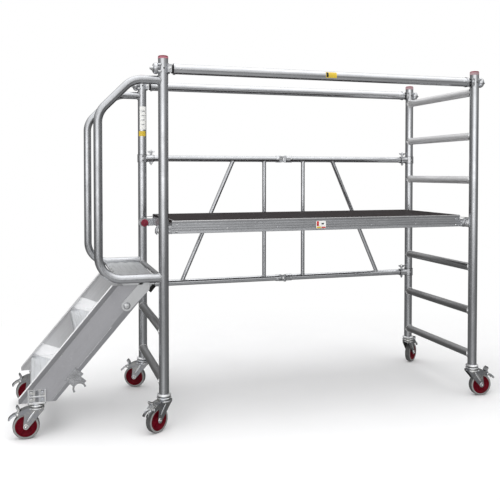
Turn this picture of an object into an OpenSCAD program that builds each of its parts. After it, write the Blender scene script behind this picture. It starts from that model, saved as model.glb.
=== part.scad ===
// Folding aluminium work tower with a hinged stair, a low landing and guard loops.
// Origin: on the floor, at the centre of the footprint box. +X runs along the deck
// away from the stair, +Y runs to the braced side, +Z is up. Millimetres.

/* [Tower] */
// Distance between the left and right frames, axis to axis
frame_length = 1785; // [1700:5:1900]
// Distance between the two uprights of one frame, axis to axis
frame_width = 700; // [680:5:760]
// Length of the upright tubes
upright_length = 1666; // [1666:2:1700]
// Outside diameter of the uprights and of the top guardrails
upright_od = 50; // [50:0.5:51]
// Outside diameter of the rungs
rung_od = 44; // [40:1:44]
// Outside diameter of the guard loops
loop_od = 42; // [38:1:44]
// Wall thickness of all frame tubes
wall = 3; // [2:0.5:4]

/* [Deck] */
// Height of the deck rails
deck_rail_height = 66; // [62:1:68]
// Outside width of the deck
deck_width = 600; // [580:2:610]

/* [Stair] */
// Outside width of the stair
stair_width = 580; // [560:2:590]
// Thickness of the tread plates
tread_plate = 4; // [3:0.5:6]

/* [Casters] */
// Diameter of the wheels
wheel_d = 125; // [123:0.5:125]
// Width of the tyres
tyre_w = 32; // [28:1:34]

/* [Output] */
// Which piece to draw

/* [Hidden] */

$fn = 48;
L = frame_length;
W = frame_width;
ru = upright_od / 2;
rr = rung_od / 2;
rl = loop_od / 2;
z_bot = 178;               // underside of the uprights
z_top = z_bot + upright_length;
pitch = 250;               // rung spacing
z_r0 = 236;                // first rung
z_land = 750;              // top of the landing plate
z_stub = z_r0 + 3 * pitch; // deck support height
z_rail = 1789;             // guardrail axis
z_deck = z_stub + 49;      // top of the deck rails
z_b1 = 615;                // lower brace tube
z_b2 = 1363;               // upper brace tube
xm = L / 2;
ym = W - 24;               // mid hinge axis, inboard of the brace plane
y_s1 = (W - stair_width) / 2;
y_s2 = W - y_s1;
y_d1 = (W - deck_width) / 2;
y_d2 = W - y_d1;
piv = [-175, 617];         // stair pivot, x and z
rw = wheel_d / 2;
trail = 50;
xc = (L - 716) / 2 + 55.235; // centre of the footprint box
yc = W / 2 + 1.675;

SILVER = [0.72, 0.73, 0.75];
ZINC = [0.78, 0.80, 0.82];
RED = [0.62, 0.10, 0.14];
DARK = [0.16, 0.15, 0.15];
GREY = [0.42, 0.43, 0.43];

module at(x, y, z = 0) translate([x - xc, y - yc, z]) children();
// a tube along Z, X or Y
module tz(r, h, t = wall) difference() {
  cylinder(r = r, h = h);
  translate([0, 0, -1]) cylinder(r = r - t, h = h + 2);
}
module rod_x(r, l) rotate([0, 90, 0]) cylinder(r = r, h = l);
module rod_y(r, l) rotate([-90, 0, 0]) cylinder(r = r, h = l);

// ---------- end frames ----------
module uprights(x) for (y = [0, W]) at(x, y, z_bot) difference() {
  cylinder(r = ru, h = upright_length);
  translate([0, 0, -1]) cylinder(r = ru - wall, h = upright_length + 2);
  // cross hole for the guardrail lock
  translate([0, 0, z_rail - z_bot]) rod_hole();
}
module rod_hole() rotate([90, 0, 0]) translate([0, 0, -ru - 5]) cylinder(r = 4, h = 2 * ru + 10);
module rung(x, z, r = rr) at(x, 0, z) difference() {
  translate([0, 5, 0]) rod_y(r, W - 10);
  translate([0, 4, 0]) rod_y(r - wall, W - 8);
  for (y = [0, W]) translate([0, y, -60]) cylinder(r = ru, h = 120);
}
module caps(x) for (y = [0, W]) at(x, y, z_top) {
  cylinder(r = ru - 0.2, h = 5);
  translate([0, 0, 4.9]) rotate_extrude() polygon([[0, 0], [ru - 0.2, 0], [ru - 2.2, 2.5], [ru - 6, 3.6], [0, 3.6]]);
  translate([0, 0, -22]) cylinder(r = ru - wall - 0.05, h = 22.1);
}
module stem() {
  // flange, plug and king pin of a tube-mounted caster
  rotate_extrude() polygon([[0, 139], [14, 139], [14, 144.5], [8, 144.5], [8, 165.5], [27, 165.5], [30, 168],
    [30, 171], [34, 172.5], [34, 176.5], [32, 178], [ru - wall - 0.05, 178], [ru - wall - 0.05, 226], [18, 230], [0, 230]]);
}

module uprights_right() color(SILVER) uprights(L);
module rungs_right() color(SILVER) for (i = [0:6]) rung(L, z_r0 + i * pitch);
module caps_right() color(RED) caps(L);
module stems_right() color(ZINC) for (y = [0, W]) at(L, y) stem();
module uprights_left() color(SILVER) uprights(0);
module rungs_left() color(SILVER) {
  rung(0, z_r0);
  rung(0, z_r0 + pitch);
  rung(0, z_land - 3, 12.5);
}
module stubs_left() color(SILVER) {
  at(0, 0, z_stub) difference() {
    translate([0, 5, 0]) rod_y(rr, 80);
    translate([0, 4, 0]) rod_y(rr - wall, 82);
    translate([0, 0, -60]) cylinder(r = ru, h = 120);
  }
  at(0, W, z_stub) difference() {
    translate([0, -85, 0]) rod_y(rr, 80);
    translate([0, -86, 0]) rod_y(rr - wall, 82);
    translate([0, 0, -60]) cylinder(r = ru, h = 120);
  }
}
module stub_cap() rotate([-90, 0, 0]) rotate_extrude() polygon([[0, -20], [rr - wall - 0.05, -20], [rr - wall - 0.05, 0],
    [rr - 0.3, 0], [rr - 0.3, 4], [rr - 3, 6.5], [0, 7.5]]);
module caps_left() color(RED) {
  caps(0);
  at(0, 85, z_stub) stub_cap();
  at(0, W - 85, z_stub) mirror([0, 1, 0]) stub_cap();
}
module stems_left() color(ZINC) for (y = [0, W]) at(0, y) stem();

// ---------- guard loops ----------
zl_top = 1732;
zl_bot = 758;
xl = -317;                  // axis of the vertical run
bend = 115;
gap = 0.02;                 // between the tube's lengths and bends
module bend_z(x, z, a0, a1) translate([x, 0, z]) rotate([90, 0, 0]) rotate([0, 0, a0])
  rotate_extrude(angle = a1 - a0, $fn = 96) translate([bend, 0]) difference() {
    circle(r = rl, $fn = 48);
    circle(r = rl - wall, $fn = 48);
  }
module length_of_tube(l) difference() {
  cylinder(r = rl, h = l);
  translate([0, 0, -1]) cylinder(r = rl - wall, h = l + 2);
}
module loop() {
  // top run, 45 degree shoulder, vertical run, bottom run
  k = bend * tan(22.5);
  xt = -150;                // corner where the top run ends
  sh = -xl + xt;            // horizontal reach of the shoulder
  zc = zl_top - sh - k;     // centre height of the lower shoulder bend
  d = sqrt(2) * (sh + k - bend);
  difference() {
    translate([xt + k + gap, 0, zl_top]) rotate([0, 90, 0]) length_of_tube(-(xt + k) - gap - 5);
    translate([0, 0, zl_top - 60]) cylinder(r = ru, h = 120);
  }
  bend_z(xt + k, zl_top - bend, 90, 135);
  translate([xl + bend - bend * cos(45), 0, zc + bend * sin(45)]) rotate([0, 45, 0]) translate([0, 0, gap]) length_of_tube(d - 2 * gap);
  bend_z(xl + bend, zc, 135, 180);
  translate([xl, 0, zl_bot + bend + gap]) length_of_tube(zc - zl_bot - bend - 2 * gap);
  bend_z(xl + bend, zl_bot + bend, 180, 270);
  difference() {
    translate([xl + bend + gap, 0, zl_bot]) rotate([0, 90, 0]) length_of_tube(-(xl + bend) - gap - 5);
    translate([0, 0, zl_bot - 60]) cylinder(r = ru, h = 120);
  }
}
module loop_front() color(SILVER) at(0, 0) loop();
module loop_rear() color(SILVER) at(0, W) loop();

// ---------- landing ----------
module landing() color(SILVER) at(0, 0) difference() {
  union() {
    translate([-212, 14, z_land - 7]) cube([188, W - 28, 7]);
    // turned-down rear edge
    translate([-30, 34, z_land - 24]) cube([4, W - 68, 20]);
  }
  for (y = [0, W]) translate([-240, y, zl_bot]) rod_x(rl, 260);
  for (i = [0:5]) translate([-190 + i * 28, 60, z_land - 0.8]) cube([3, W - 120, 3]);
}
module landing_nosing() color(ZINC) at(-212, 0, z_land - 7.5) difference() {
  translate([0, 10, 0]) rod_y(7.5, W - 20);
  for (y = [0, W]) translate([-40, y, zl_bot - z_land + 7.5]) rod_x(rl, 80);
  translate([0, -1, -20]) cube([30, W + 2, 40]);
}
// straps that carry the stair pivot: fixed to the landing, outside the stringers
module strap() difference() {
  union() {
    rotate([90, 0, 0]) linear_extrude(5) polygon([[piv[0] - 19, piv[1] + 19], [piv[0] + 19, piv[1] - 19], [-62, 694], [-62, 743], [-98, 743]]);
    translate([piv[0], 0, piv[1]]) rotate([90, 0, 0]) cylinder(r = 26.8, h = 5);
  }
}
module stair_brackets() color(ZINC) {
  at(0, y_s1 - 1) strap();
  at(0, y_s2 + 6) strap();
  // pivot bolts with domed heads
  for (s = [0, 1]) at(piv[0], s == 0 ? y_s1 - 6 : y_s2 + 6, piv[1]) mirror([0, s, 0]) {
    translate([0, 4.5, 0]) rod_y(8, 18);
    rotate([90, 0, 0]) rotate_extrude() polygon([[0, -1], [15, -1], [15, 4], [11, 8], [0, 9]]);
  }
}
// black plugs that close the upper ends of the stringers, so they move with the stair
module stair_plugs() color(DARK) for (y = [y_s1 + 2, y_s2 - 24]) at(0, y) rotate([90, 0, 0]) translate([0, 0, -22])
  linear_extrude(22) polygon([[-66.5, 686], [-54, 675.4], [-28, 706], [-40.5, 716.5]]);

// ---------- stair ----------
s_prof = [[-690, 173], [-518, 173], [-68, 684], [-80, 718], [-246, 718], [-690, 195]];
module slope_band(off0, off1, y0, t, x0, x1) {
  // a strip parallel to the top edge, between two offsets below it
  a = atan2(718 - 195, -246 + 690);
  translate([0, y0, 0]) rotate([90, 0, 0]) translate([0, 0, -t]) linear_extrude(t) intersection() {
    polygon(s_prof);
    translate([-690, 195]) rotate(a) translate([x0, -off1]) square([x1 - x0, off1 - off0]);
  }
}
module stringer() difference() {
  union() {
    rotate([90, 0, 0]) translate([0, 0, -6]) linear_extrude(4) polygon(s_prof);
    // raised bands along both edges and flanges turned inwards
    slope_band(-1, 22, 0, 2.5, -20, 900);
    slope_band(128, 175, 0, 2.5, -20, 530);
    slope_band(-1, 4, 2, 26, -20, 900);
    slope_band(140, 175, 2, 26, 120, 530);
  }
  translate([piv[0], -5, piv[1]]) rod_y(8.06, 60);
}
module stringer_front() color(SILVER) at(0, y_s1) stringer();
module stringer_rear() color(SILVER) at(0, y_s2) mirror([0, 1, 0]) stringer();

module tread(xn, zt) {
  // folded plate with ribbed nosing, drop lip and upturned ends
  yi = y_s1 + 6;
  wi = stair_width - 12;
  at(xn, yi, zt) {
    difference() {
      translate([4, 0, -tread_plate]) cube([150, wi, tread_plate]);
      for (i = [0:2]) translate([12 + i * 10, 30, -1]) cube([3, wi - 60, 3]);
    }
    translate([4, 30, -8]) rod_nose(wi - 60);
    translate([0, 30, -34]) cube([4, wi - 60, 30]);
    translate([150, 0, -24]) cube([4, wi, 24]);
    for (y = [0, wi - 3]) translate([0, y, -0.1]) tread_end();
  }
}
module rod_nose(l) rotate([-90, 0, 0]) difference() {
  translate([4, 0, 0]) cylinder(r = 8, h = l);
  translate([4, -20, -1]) cube([20, 40, l + 2]);
  translate([-20, 0, -1]) cube([40, 20, l + 2]);
}
module tread_end() rotate([90, 0, 0]) translate([0, 0, -3]) linear_extrude(3) polygon([[44.7, 0], [172, 0], [176, 23.5], [156.5, 31.6], [60, 71], [16, 19]]);
module tread_upper() color(ZINC) tread(-424, 500);
module tread_lower() color(ZINC) tread(-636, 250);

// claw plates riveted to the outside of the stringers
module hook_plate() {
  a = 48.65;
  rotate([90, 0, 0]) linear_extrude(6) difference() {
    union() {
      translate([-432, 284]) rotate(a) translate([-38, -26]) square([76, 52]);
      translate([-407, 225]) circle(r = 33);
      translate([-425, 262]) rotate(a) translate([-20, -40]) square([52, 46]);
    }
    translate([-407, 225]) circle(r = 24);
    translate([-407, 225]) rotate(-66) translate([6, -50]) square([60, 100]);
  }
  for (u = [-26, 26], v = [-14, 14]) translate([-432 + u * cos(a) - v * sin(a), -5, 284 + u * sin(a) + v * cos(a)])
    rotate([90, 0, 0]) cylinder(r = 5, h = 4.5);
}
module stair_hooks() color(ZINC) {
  at(0, y_s1 - 0) hook_plate();
  at(0, y_s2) mirror([0, 1, 0]) hook_plate();
}
// caster brackets at the foot of the stair
sx = -606;
module stair_stem() {
  rotate_extrude() polygon([[0, 139], [14, 139], [14, 144.5], [8, 144.5], [8, 165.5], [26, 165.5], [26, 169.1], [0, 169.1]]);
  difference() {
    union() {
      translate([-42, -19, 169]) cube([84, 44, 4]);
      translate([-42, -19, 169]) cube([84, 4, 68]);
    }
    translate([-60, -40, 237]) rotate([0, 0, 0]) cube([10, 60, 10]);
  }
}
module stems_stair() color(ZINC) {
  at(sx, y_s1 + 15) stair_stem();
  at(sx, y_s2 - 15) mirror([0, 1, 0]) stair_stem();
}
module stair_bolts() color(ZINC) for (s = [0, 1]) at(sx, s == 0 ? y_s1 - 4 : y_s2 + 4, 0) mirror([0, s, 0])
  for (u = [-26, 26], z = [188, 220]) translate([u, 0, z]) rotate([90, 0, 0]) {
    cylinder(r = 9, h = 1.6);
    translate([0, 0, 1.5]) cylinder(r = 7, h = 5, $fn = 6);
  }

// ---------- deck ----------
zd0 = z_deck - deck_rail_height;
module deck_rail() rotate([90, 0, 90]) linear_extrude(L - 104) polygon([
  [0, 0], [4, 0], [24, 0], [24, 3], [4, 3], [4, deck_rail_height - 17], [20, deck_rail_height - 17], [20, deck_rail_height - 14],
  [4, deck_rail_height - 14], [4, deck_rail_height - 1], [3, deck_rail_height], [-2, deck_rail_height], [-2, deck_rail_height - 5], [0, deck_rail_height - 6],
  [0, deck_rail_height - 13], [1.5, deck_rail_height - 14], [1.5, deck_rail_height - 16], [0, deck_rail_height - 17],
  [0, deck_rail_height - 25], [1.5, deck_rail_height - 26], [1.5, deck_rail_height - 28], [0, deck_rail_height - 29],
  [0, deck_rail_height - 37], [1.5, deck_rail_height - 38], [1.5, deck_rail_height - 40], [0, deck_rail_height - 41],
  [0, deck_rail_height - 49], [1.5, deck_rail_height - 50], [1.5, deck_rail_height - 52], [0, deck_rail_height - 53], [0, 6], [-2, 5], [-2, 0]]);
module deck_rails() color(SILVER) {
  at(52, y_d1 + 2, zd0) deck_rail();
  at(52, y_d2 - 2, zd0) mirror([0, 1, 0]) deck_rail();
}
module deck_board() color(DARK) at(54, y_d1 + 6.2, z_deck - 13.8) cube([L - 108, deck_width - 12.4, 14.6]);
module deck_crossbars() color(SILVER) for (i = [0:6]) at(52 + i * (L - 134) / 6, y_d1 + 26.2, zd0 + 4) difference() {
  cube([30, deck_width - 52.4, deck_rail_height - 18]);
  translate([3, -1, 3]) cube([24, deck_width, deck_rail_height - 24]);
}
module claw(w) {
  // hook over a cross tube: opens downwards
  rotate([90, 0, 0]) translate([0, 0, -w]) linear_extrude(w) difference() {
    union() {
      circle(r = rr + 9, $fn = 64);
      translate([-rr - 9, -14]) square([2 * rr + 18, 14]);
      translate([10, -18]) square([41.8, 42]);
    }
    circle(r = rr + 0.5, $fn = 64);
    translate([-rr - 0.5, -60]) square([2 * rr + 1, 60]);
  }
}
module deck_claws() color(ZINC) {
  at(0, y_d1 + 0.5, z_stub) claw(24);
  at(0, y_d2 - 24.5, z_stub) claw(24);
  at(L, y_d1 + 0.5, z_stub) mirror([1, 0, 0]) claw(24);
  at(L, y_d2 - 24.5, z_stub) mirror([1, 0, 0]) claw(24);
}

// ---------- top guardrails ----------
module guardrail(y) at(60, y, z_rail) difference() {
  rod_x(ru, L - 120);
  translate([-1, 0, 0]) rod_x(ru - wall, L - 118);
}
module coupler() difference() {
  union() {
    // saddle against the inner side of the upright
    translate([0, 0, -24]) cylinder(r = ru + 6, h = 48);
    translate([20, 0, 0]) rod_x(13, 36);
    translate([50, 0, 0]) rod_x(ru + 3, 9.8);
    translate([55, 0, 0]) rod_x(ru - wall - 0.05, 45);
    // cheek blocks
    translate([18, -30, -20]) cube([20, 9, 40]);
    translate([18, 21, -20]) cube([20, 9, 40]);
  }
  translate([0, 0, -40]) cylinder(r = ru + 0.3, h = 80);
  translate([-50, -50, -40]) cube([62, 100, 80]);
}
module couplers(y) {
  at(0, y, z_rail) coupler();
  at(L, y, z_rail) mirror([1, 0, 0]) coupler();
}
// domed cap nut and bolt end on the outer side of the upright
module rail_bolt() difference() {
  union() {
    translate([-52, 0, 0]) rotate([0, 90, 0]) rotate_extrude() polygon([[0, 0], [18, 0], [25, 5], [28, 12], [28, 19], [22, 32], [0, 32]]);
    translate([-66, 0, 0]) rod_x(6, 20);
  }
  translate([0, 0, -40]) cylinder(r = ru, h = 80);
}
module rail_bolts_left() color(ZINC) for (y = [0, W]) at(0, y, z_rail) rail_bolt();
module rail_bolts_right() color(ZINC) for (y = [0, W]) at(L, y, z_rail) mirror([1, 0, 0]) rail_bolt();
module guardrail_front() color(SILVER) guardrail(0);
module guardrail_rear() color(SILVER) guardrail(W);
module couplers_front() color(ZINC) couplers(0);
module couplers_rear() color(ZINC) couplers(W);

// ---------- folding brace ----------
rb = 18;  // long tubes
rv = 12;  // uprights and diagonals of the panel
module brace_half() {
  // drawn for the right half, from the mid hinge towards the right frame
  for (z = [z_b1, z_b2]) translate([xm + 11, W, z]) rod_x(rb, L - 37 - xm - 11);
  translate([xm + 130, W, z_b1 + 10]) cylinder(r = rv, h = z_b2 - z_b1 - 20);
  x1 = xm + 328;
  x2 = xm + 658;
  d = sqrt(pow(x2 - x1, 2) + pow(z_b2 - z_b1, 2));
  e = 12;
  translate([x1 + (x2 - x1) * e / d, W, z_b2 - (z_b2 - z_b1) * e / d]) rotate([0, 180 - atan2(x2 - x1, z_b2 - z_b1), 0]) cylinder(r = rv, h = d - 2 * e);
}
module knuckle(z, z0, h) {
  translate([xm, ym, z + z0]) cylinder(r = 8, h = h);
  translate([xm, ym, z + z0]) cube([36, 14, h]);
}
module brace_right() color(SILVER) at(0, 0) difference() {
  union() {
    brace_half();
    for (z = [z_b1, z_b2]) knuckle(z, -8, 16);
  }
  for (z = [z_b1, z_b2]) translate([xm, ym, z - 30]) cylinder(r = 4.06, h = 60);
}
module brace_left() color(SILVER) at(0, 0) {
  translate([2 * xm, 0, 0]) mirror([1, 0, 0]) {
    brace_half();
    for (z = [z_b1, z_b2]) {
      knuckle(z, 8.5, 10);
      knuckle(z, -18.5, 10);
    }
  }
  // hinge pins
  for (z = [z_b1, z_b2]) translate([xm, ym, z - 22]) {
    cylinder(r = 4, h = 44);
    cylinder(r = 7, h = 3.5);
    translate([0, 0, 40.5]) cylinder(r = 7, h = 3.5);
  }
}
module brace_end(z) {
  // sleeve that turns on the upright, with a socket for the brace tube
  translate([L, W, z]) difference() {
    union() {
      translate([0, 0, -22]) cylinder(r = ru + 3.5, h = 44);
      translate([-66, 0, 0]) rod_x(rb + 3.5, 50);
      // wing on top, nut below
      translate([-52, 0, 20]) cylinder(r = 6, h = 18);
      translate([-64, -3, 32]) cube([30, 6, 12]);
      translate([-52, 0, -32]) cylinder(r = 9, h = 14, $fn = 6);
    }
    translate([0, 0, -40]) cylinder(r = ru + 0.06, h = 80);
    translate([-70, 0, 0]) rod_x(rb, 70 - 37);
  }
}
module brace_ends_right() color(ZINC) at(0, 0) for (z = [z_b1, z_b2]) brace_end(z);
module brace_ends_left() color(ZINC) at(0, 0) translate([2 * xm, 0, 0]) mirror([1, 0, 0]) for (z = [z_b1, z_b2]) brace_end(z);

// ---------- casters: swivel axis at the origin, wheel trailing along +X ----------
module fork() {
  difference() {
    union() {
      rotate_extrude() polygon([[0, 145], [30, 145], [34, 150], [34, 158], [30, 164], [24, 165], [0, 165]]);
      for (y = [-23, 20]) translate([0, y + 3, 0]) rotate([90, 0, 0]) linear_extrude(3) {
        polygon([[-34, 152], [34, 152], [52, 149], [72, 141], [88, 131.5], [97, 122], [94, 115], [82, 114], [70, 120], [60, 122], [58, 110], [63, 62], [41, 53], [-34, 140]]);
        translate([50, 62.5]) circle(r = 13);
      }
      // arched crown plate over the wheel
      translate([0, 23, 0]) rotate([90, 0, 0]) linear_extrude(46) polygon([[-34, 152], [-34, 146], [34, 146], [50, 143], [70, 135], [72, 141], [52, 149], [34, 152]]);
    }
    translate([0, 0, 100]) cylinder(r = 8.06, h = 100);
  }
  // axle with nuts, and the brake pin
  translate([trail, -26, 62.5]) rod_y(6, 52);
  translate([trail, -29, 62.5]) rotate([-90, 0, 0]) cylinder(r = 9.5, h = 6.1, $fn = 6);
  translate([trail, 22.9, 62.5]) rotate([-90, 0, 0]) cylinder(r = 9.5, h = 6.1, $fn = 6);
  translate([88, -23, 123]) rod_y(3.5, 46);
}
module core() translate([trail, 0, 62.5]) rotate([90, 0, 0]) rotate_extrude() polygon([
  [6.06, -19], [14, -19], [15, -15], [18, -8], [38, -8], [44, -13.5], [rw - 11.5, -13.5],
  [rw - 11.5, 13.5], [44, 13.5], [38, 8], [18, 8], [15, 15], [14, 19], [6.06, 19]]);
module tyre() translate([trail, 0, 62.5]) rotate([90, 0, 0]) rotate_extrude() polygon([
  [rw - 11.5, -tyre_w / 2 + 1], [rw - 8, -tyre_w / 2], [rw - 4, -tyre_w / 2], [rw - 1.2, -tyre_w / 2 + 3], [rw, -tyre_w / 2 + 8], [rw, tyre_w / 2 - 8],
  [rw - 1.2, tyre_w / 2 - 3], [rw - 4, tyre_w / 2], [rw - 8, tyre_w / 2], [rw - 11.5, tyre_w / 2 - 1]]);
module brake() difference() {
  union() {
    translate([88, -19, 123]) rod_y(7, 38);
    translate([0, 17, 0]) rotate([90, 0, 0]) linear_extrude(34)
      polygon([[83, 127], [79, 143], [87, 158], [95, 160], [97, 156], [89, 143], [94, 127], [112, 121], [126, 109], [131, 99], [126, 95], [117, 106], [106, 114], [90, 117]]);
  }
  translate([88, -30, 123]) rod_y(3.56, 60);
  // slot between the two pedal tips
  translate([99, -7, 90]) cube([40, 14, 40]);
}
// position and heading of each caster
P = [["fl", 0, 0, 215], ["rl", 0, W, 155], ["fr", L, 0, -5], ["rr", L, W, 37], ["sf", sx, y_s1 + 15, 178], ["sr", sx, y_s2 - 15, 182]];
module put(i) at(P[i][1], P[i][2]) rotate([0, 0, P[i][3]]) children();

module fork_fl() color(ZINC) put(0) fork();
module core_fl() color(RED) put(0) core();
module tyre_fl() color(GREY) put(0) tyre();
module brake_fl() color(ZINC) put(0) brake();
module fork_rl() color(ZINC) put(1) fork();
module core_rl() color(RED) put(1) core();
module tyre_rl() color(GREY) put(1) tyre();
module brake_rl() color(ZINC) put(1) brake();
module fork_fr() color(ZINC) put(2) fork();
module core_fr() color(RED) put(2) core();
module tyre_fr() color(GREY) put(2) tyre();
module brake_fr() color(ZINC) put(2) brake();
module fork_rr() color(ZINC) put(3) fork();
module core_rr() color(RED) put(3) core();
module tyre_rr() color(GREY) put(3) tyre();
module brake_rr() color(ZINC) put(3) brake();
module fork_sf() color(ZINC) put(4) fork();
module core_sf() color(RED) put(4) core();
module tyre_sf() color(GREY) put(4) tyre();
module brake_sf() color(ZINC) put(4) brake();
module fork_sr() color(ZINC) put(5) fork();
module core_sr() color(RED) put(5) core();
module tyre_sr() color(GREY) put(5) tyre();
module brake_sr() color(ZINC) put(5) brake();

uprights_right();
rungs_right();
caps_right();
stems_right();
uprights_left();
rungs_left();
stubs_left();
caps_left();
rail_bolts_left();
rail_bolts_right();
stems_left();
loop_front();
loop_rear();
landing();
landing_nosing();
stair_brackets();
stair_plugs();
stringer_front();
stringer_rear();
tread_upper();
tread_lower();
stair_hooks();
stair_bolts();
stems_stair();
deck_board();
deck_rails();
deck_crossbars();
deck_claws();
guardrail_front();
guardrail_rear();
couplers_front();
couplers_rear();
brace_right();
brace_left();
brace_ends_right();
brace_ends_left();
fork_fl();
core_fl();
tyre_fl();
brake_fl();
fork_rl();
core_rl();
tyre_rl();
brake_rl();
fork_fr();
core_fr();
tyre_fr();
brake_fr();
fork_rr();
core_rr();
tyre_rr();
brake_rr();
fork_sf();
core_sf();
tyre_sf();
brake_sf();
fork_sr();
core_sr();
tyre_sr();
brake_sr();
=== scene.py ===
"""Mobile aluminium work platform with a short stair, on six braked casters.

A left and a right ladder frame stand on casters and carry a deck, two guardrails and a
folding brace at the rear. The stair hooks on to the left frame. X runs along the length
from left to right, Y across the width from front to rear, Z up from the floor.
"""

import math
import random

import bmesh
import bpy
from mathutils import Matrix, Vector

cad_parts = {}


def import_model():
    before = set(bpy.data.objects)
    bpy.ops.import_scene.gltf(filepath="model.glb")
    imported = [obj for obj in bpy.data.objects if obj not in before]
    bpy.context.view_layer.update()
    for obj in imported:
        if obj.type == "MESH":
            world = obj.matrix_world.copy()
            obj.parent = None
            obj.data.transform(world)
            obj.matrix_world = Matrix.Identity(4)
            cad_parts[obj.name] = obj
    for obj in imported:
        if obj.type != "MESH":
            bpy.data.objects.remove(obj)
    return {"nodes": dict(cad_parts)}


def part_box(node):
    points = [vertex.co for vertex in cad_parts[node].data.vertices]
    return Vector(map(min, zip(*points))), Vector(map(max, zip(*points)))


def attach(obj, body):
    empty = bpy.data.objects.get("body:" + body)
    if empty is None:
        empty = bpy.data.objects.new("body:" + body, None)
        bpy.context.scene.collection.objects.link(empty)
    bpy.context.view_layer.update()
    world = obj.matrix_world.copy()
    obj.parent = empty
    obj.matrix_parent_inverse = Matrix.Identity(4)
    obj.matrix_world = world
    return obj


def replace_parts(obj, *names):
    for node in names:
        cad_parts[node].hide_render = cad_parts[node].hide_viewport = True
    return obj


cad_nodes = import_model()["nodes"]
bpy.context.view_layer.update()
random.seed(7)
scene = bpy.context.scene

# ---------------------------------------------------------------- driving sizes, in mm
MM = 0.001
X, Y, Z = Vector((1, 0, 0)), Vector((0, 1, 0)), Vector((0, 0, 1))

low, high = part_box("uprights_left")
upright_radius_m = (high.x - low.x) / 2
ORIGIN_X = (low.x + high.x) / 2  # metres, axis of the front left upright
ORIGIN_Y = low.y + upright_radius_m
UPRIGHT_RADIUS = upright_radius_m * 1000
UPRIGHT_TOP = high.z * 1000
WIDTH = ((high.y - low.y) - 2 * upright_radius_m) * 1000  # between upright axes
low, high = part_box("uprights_right")
LENGTH = ((low.x + high.x) / 2 - ORIGIN_X) * 1000
MIDDLE = LENGTH / 2

RUNG_RADIUS = 22
RUNG_BASE, RUNG_PITCH = 236, 250
DECK_RUNG_Z = RUNG_BASE + 3 * RUNG_PITCH
RAIL_Z = 1789  # guardrail axis
LOOP_RADIUS, LOOP_TOP, LOOP_BOTTOM = 21, 1732.0, 758.0
LOOP_LEFT, LOOP_BEND = -317.0, 115.0
BRACE_LOW, BRACE_HIGH = 615.0, 1363.0
BRACE_RADIUS, STRUT_RADIUS = 18, 12
STRUT_FOOT, STRUT_HEAD = 658, 328  # ends of the leaning strut, from the middle
DECK_WIDTH = 600
STRINGER_X, STRINGER_Z = -690, 195  # lower end of the stringer's edge line
SLOPE = math.atan2(523, 444)
TREADS = (("upper", -424, 500), ("lower", -636, 250))  # name, left edge x, top z
STAIR_HEAD_X = -606  # axis of the stair casters
BEAD_PITCH = 0.0045  # metres between the ripples of a straight weld bead

# key: swivel axis x, y, and the direction the wheel trails, in degrees
CASTERS = {
    "fl": (0, 0, 215), "rl": (0, WIDTH, 155), "fr": (LENGTH, 0, -5),
    "rr": (LENGTH, WIDTH, 37), "sf": (STAIR_HEAD_X, 75, 178),
    "sr": (STAIR_HEAD_X, WIDTH - 75, 182),
}


def place(x, y, z):
    """mm from the front left upright's axis and the floor, to metres in the CAD frame"""
    return Vector((ORIGIN_X + x * MM, ORIGIN_Y + y * MM, z * MM))


def on_slope(along, y, below):
    """a point on the stringer, `along` its edge line and `below` it at right angles"""
    run, rise = math.cos(SLOPE), math.sin(SLOPE)
    return place(STRINGER_X + run * along + rise * below, y,
                 STRINGER_Z + rise * along - run * below)


def sides(inset):
    """the front and rear y at one inset from the upright axes, each with its inward sign"""
    return (inset, 1), (WIDTH - inset, -1)


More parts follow.
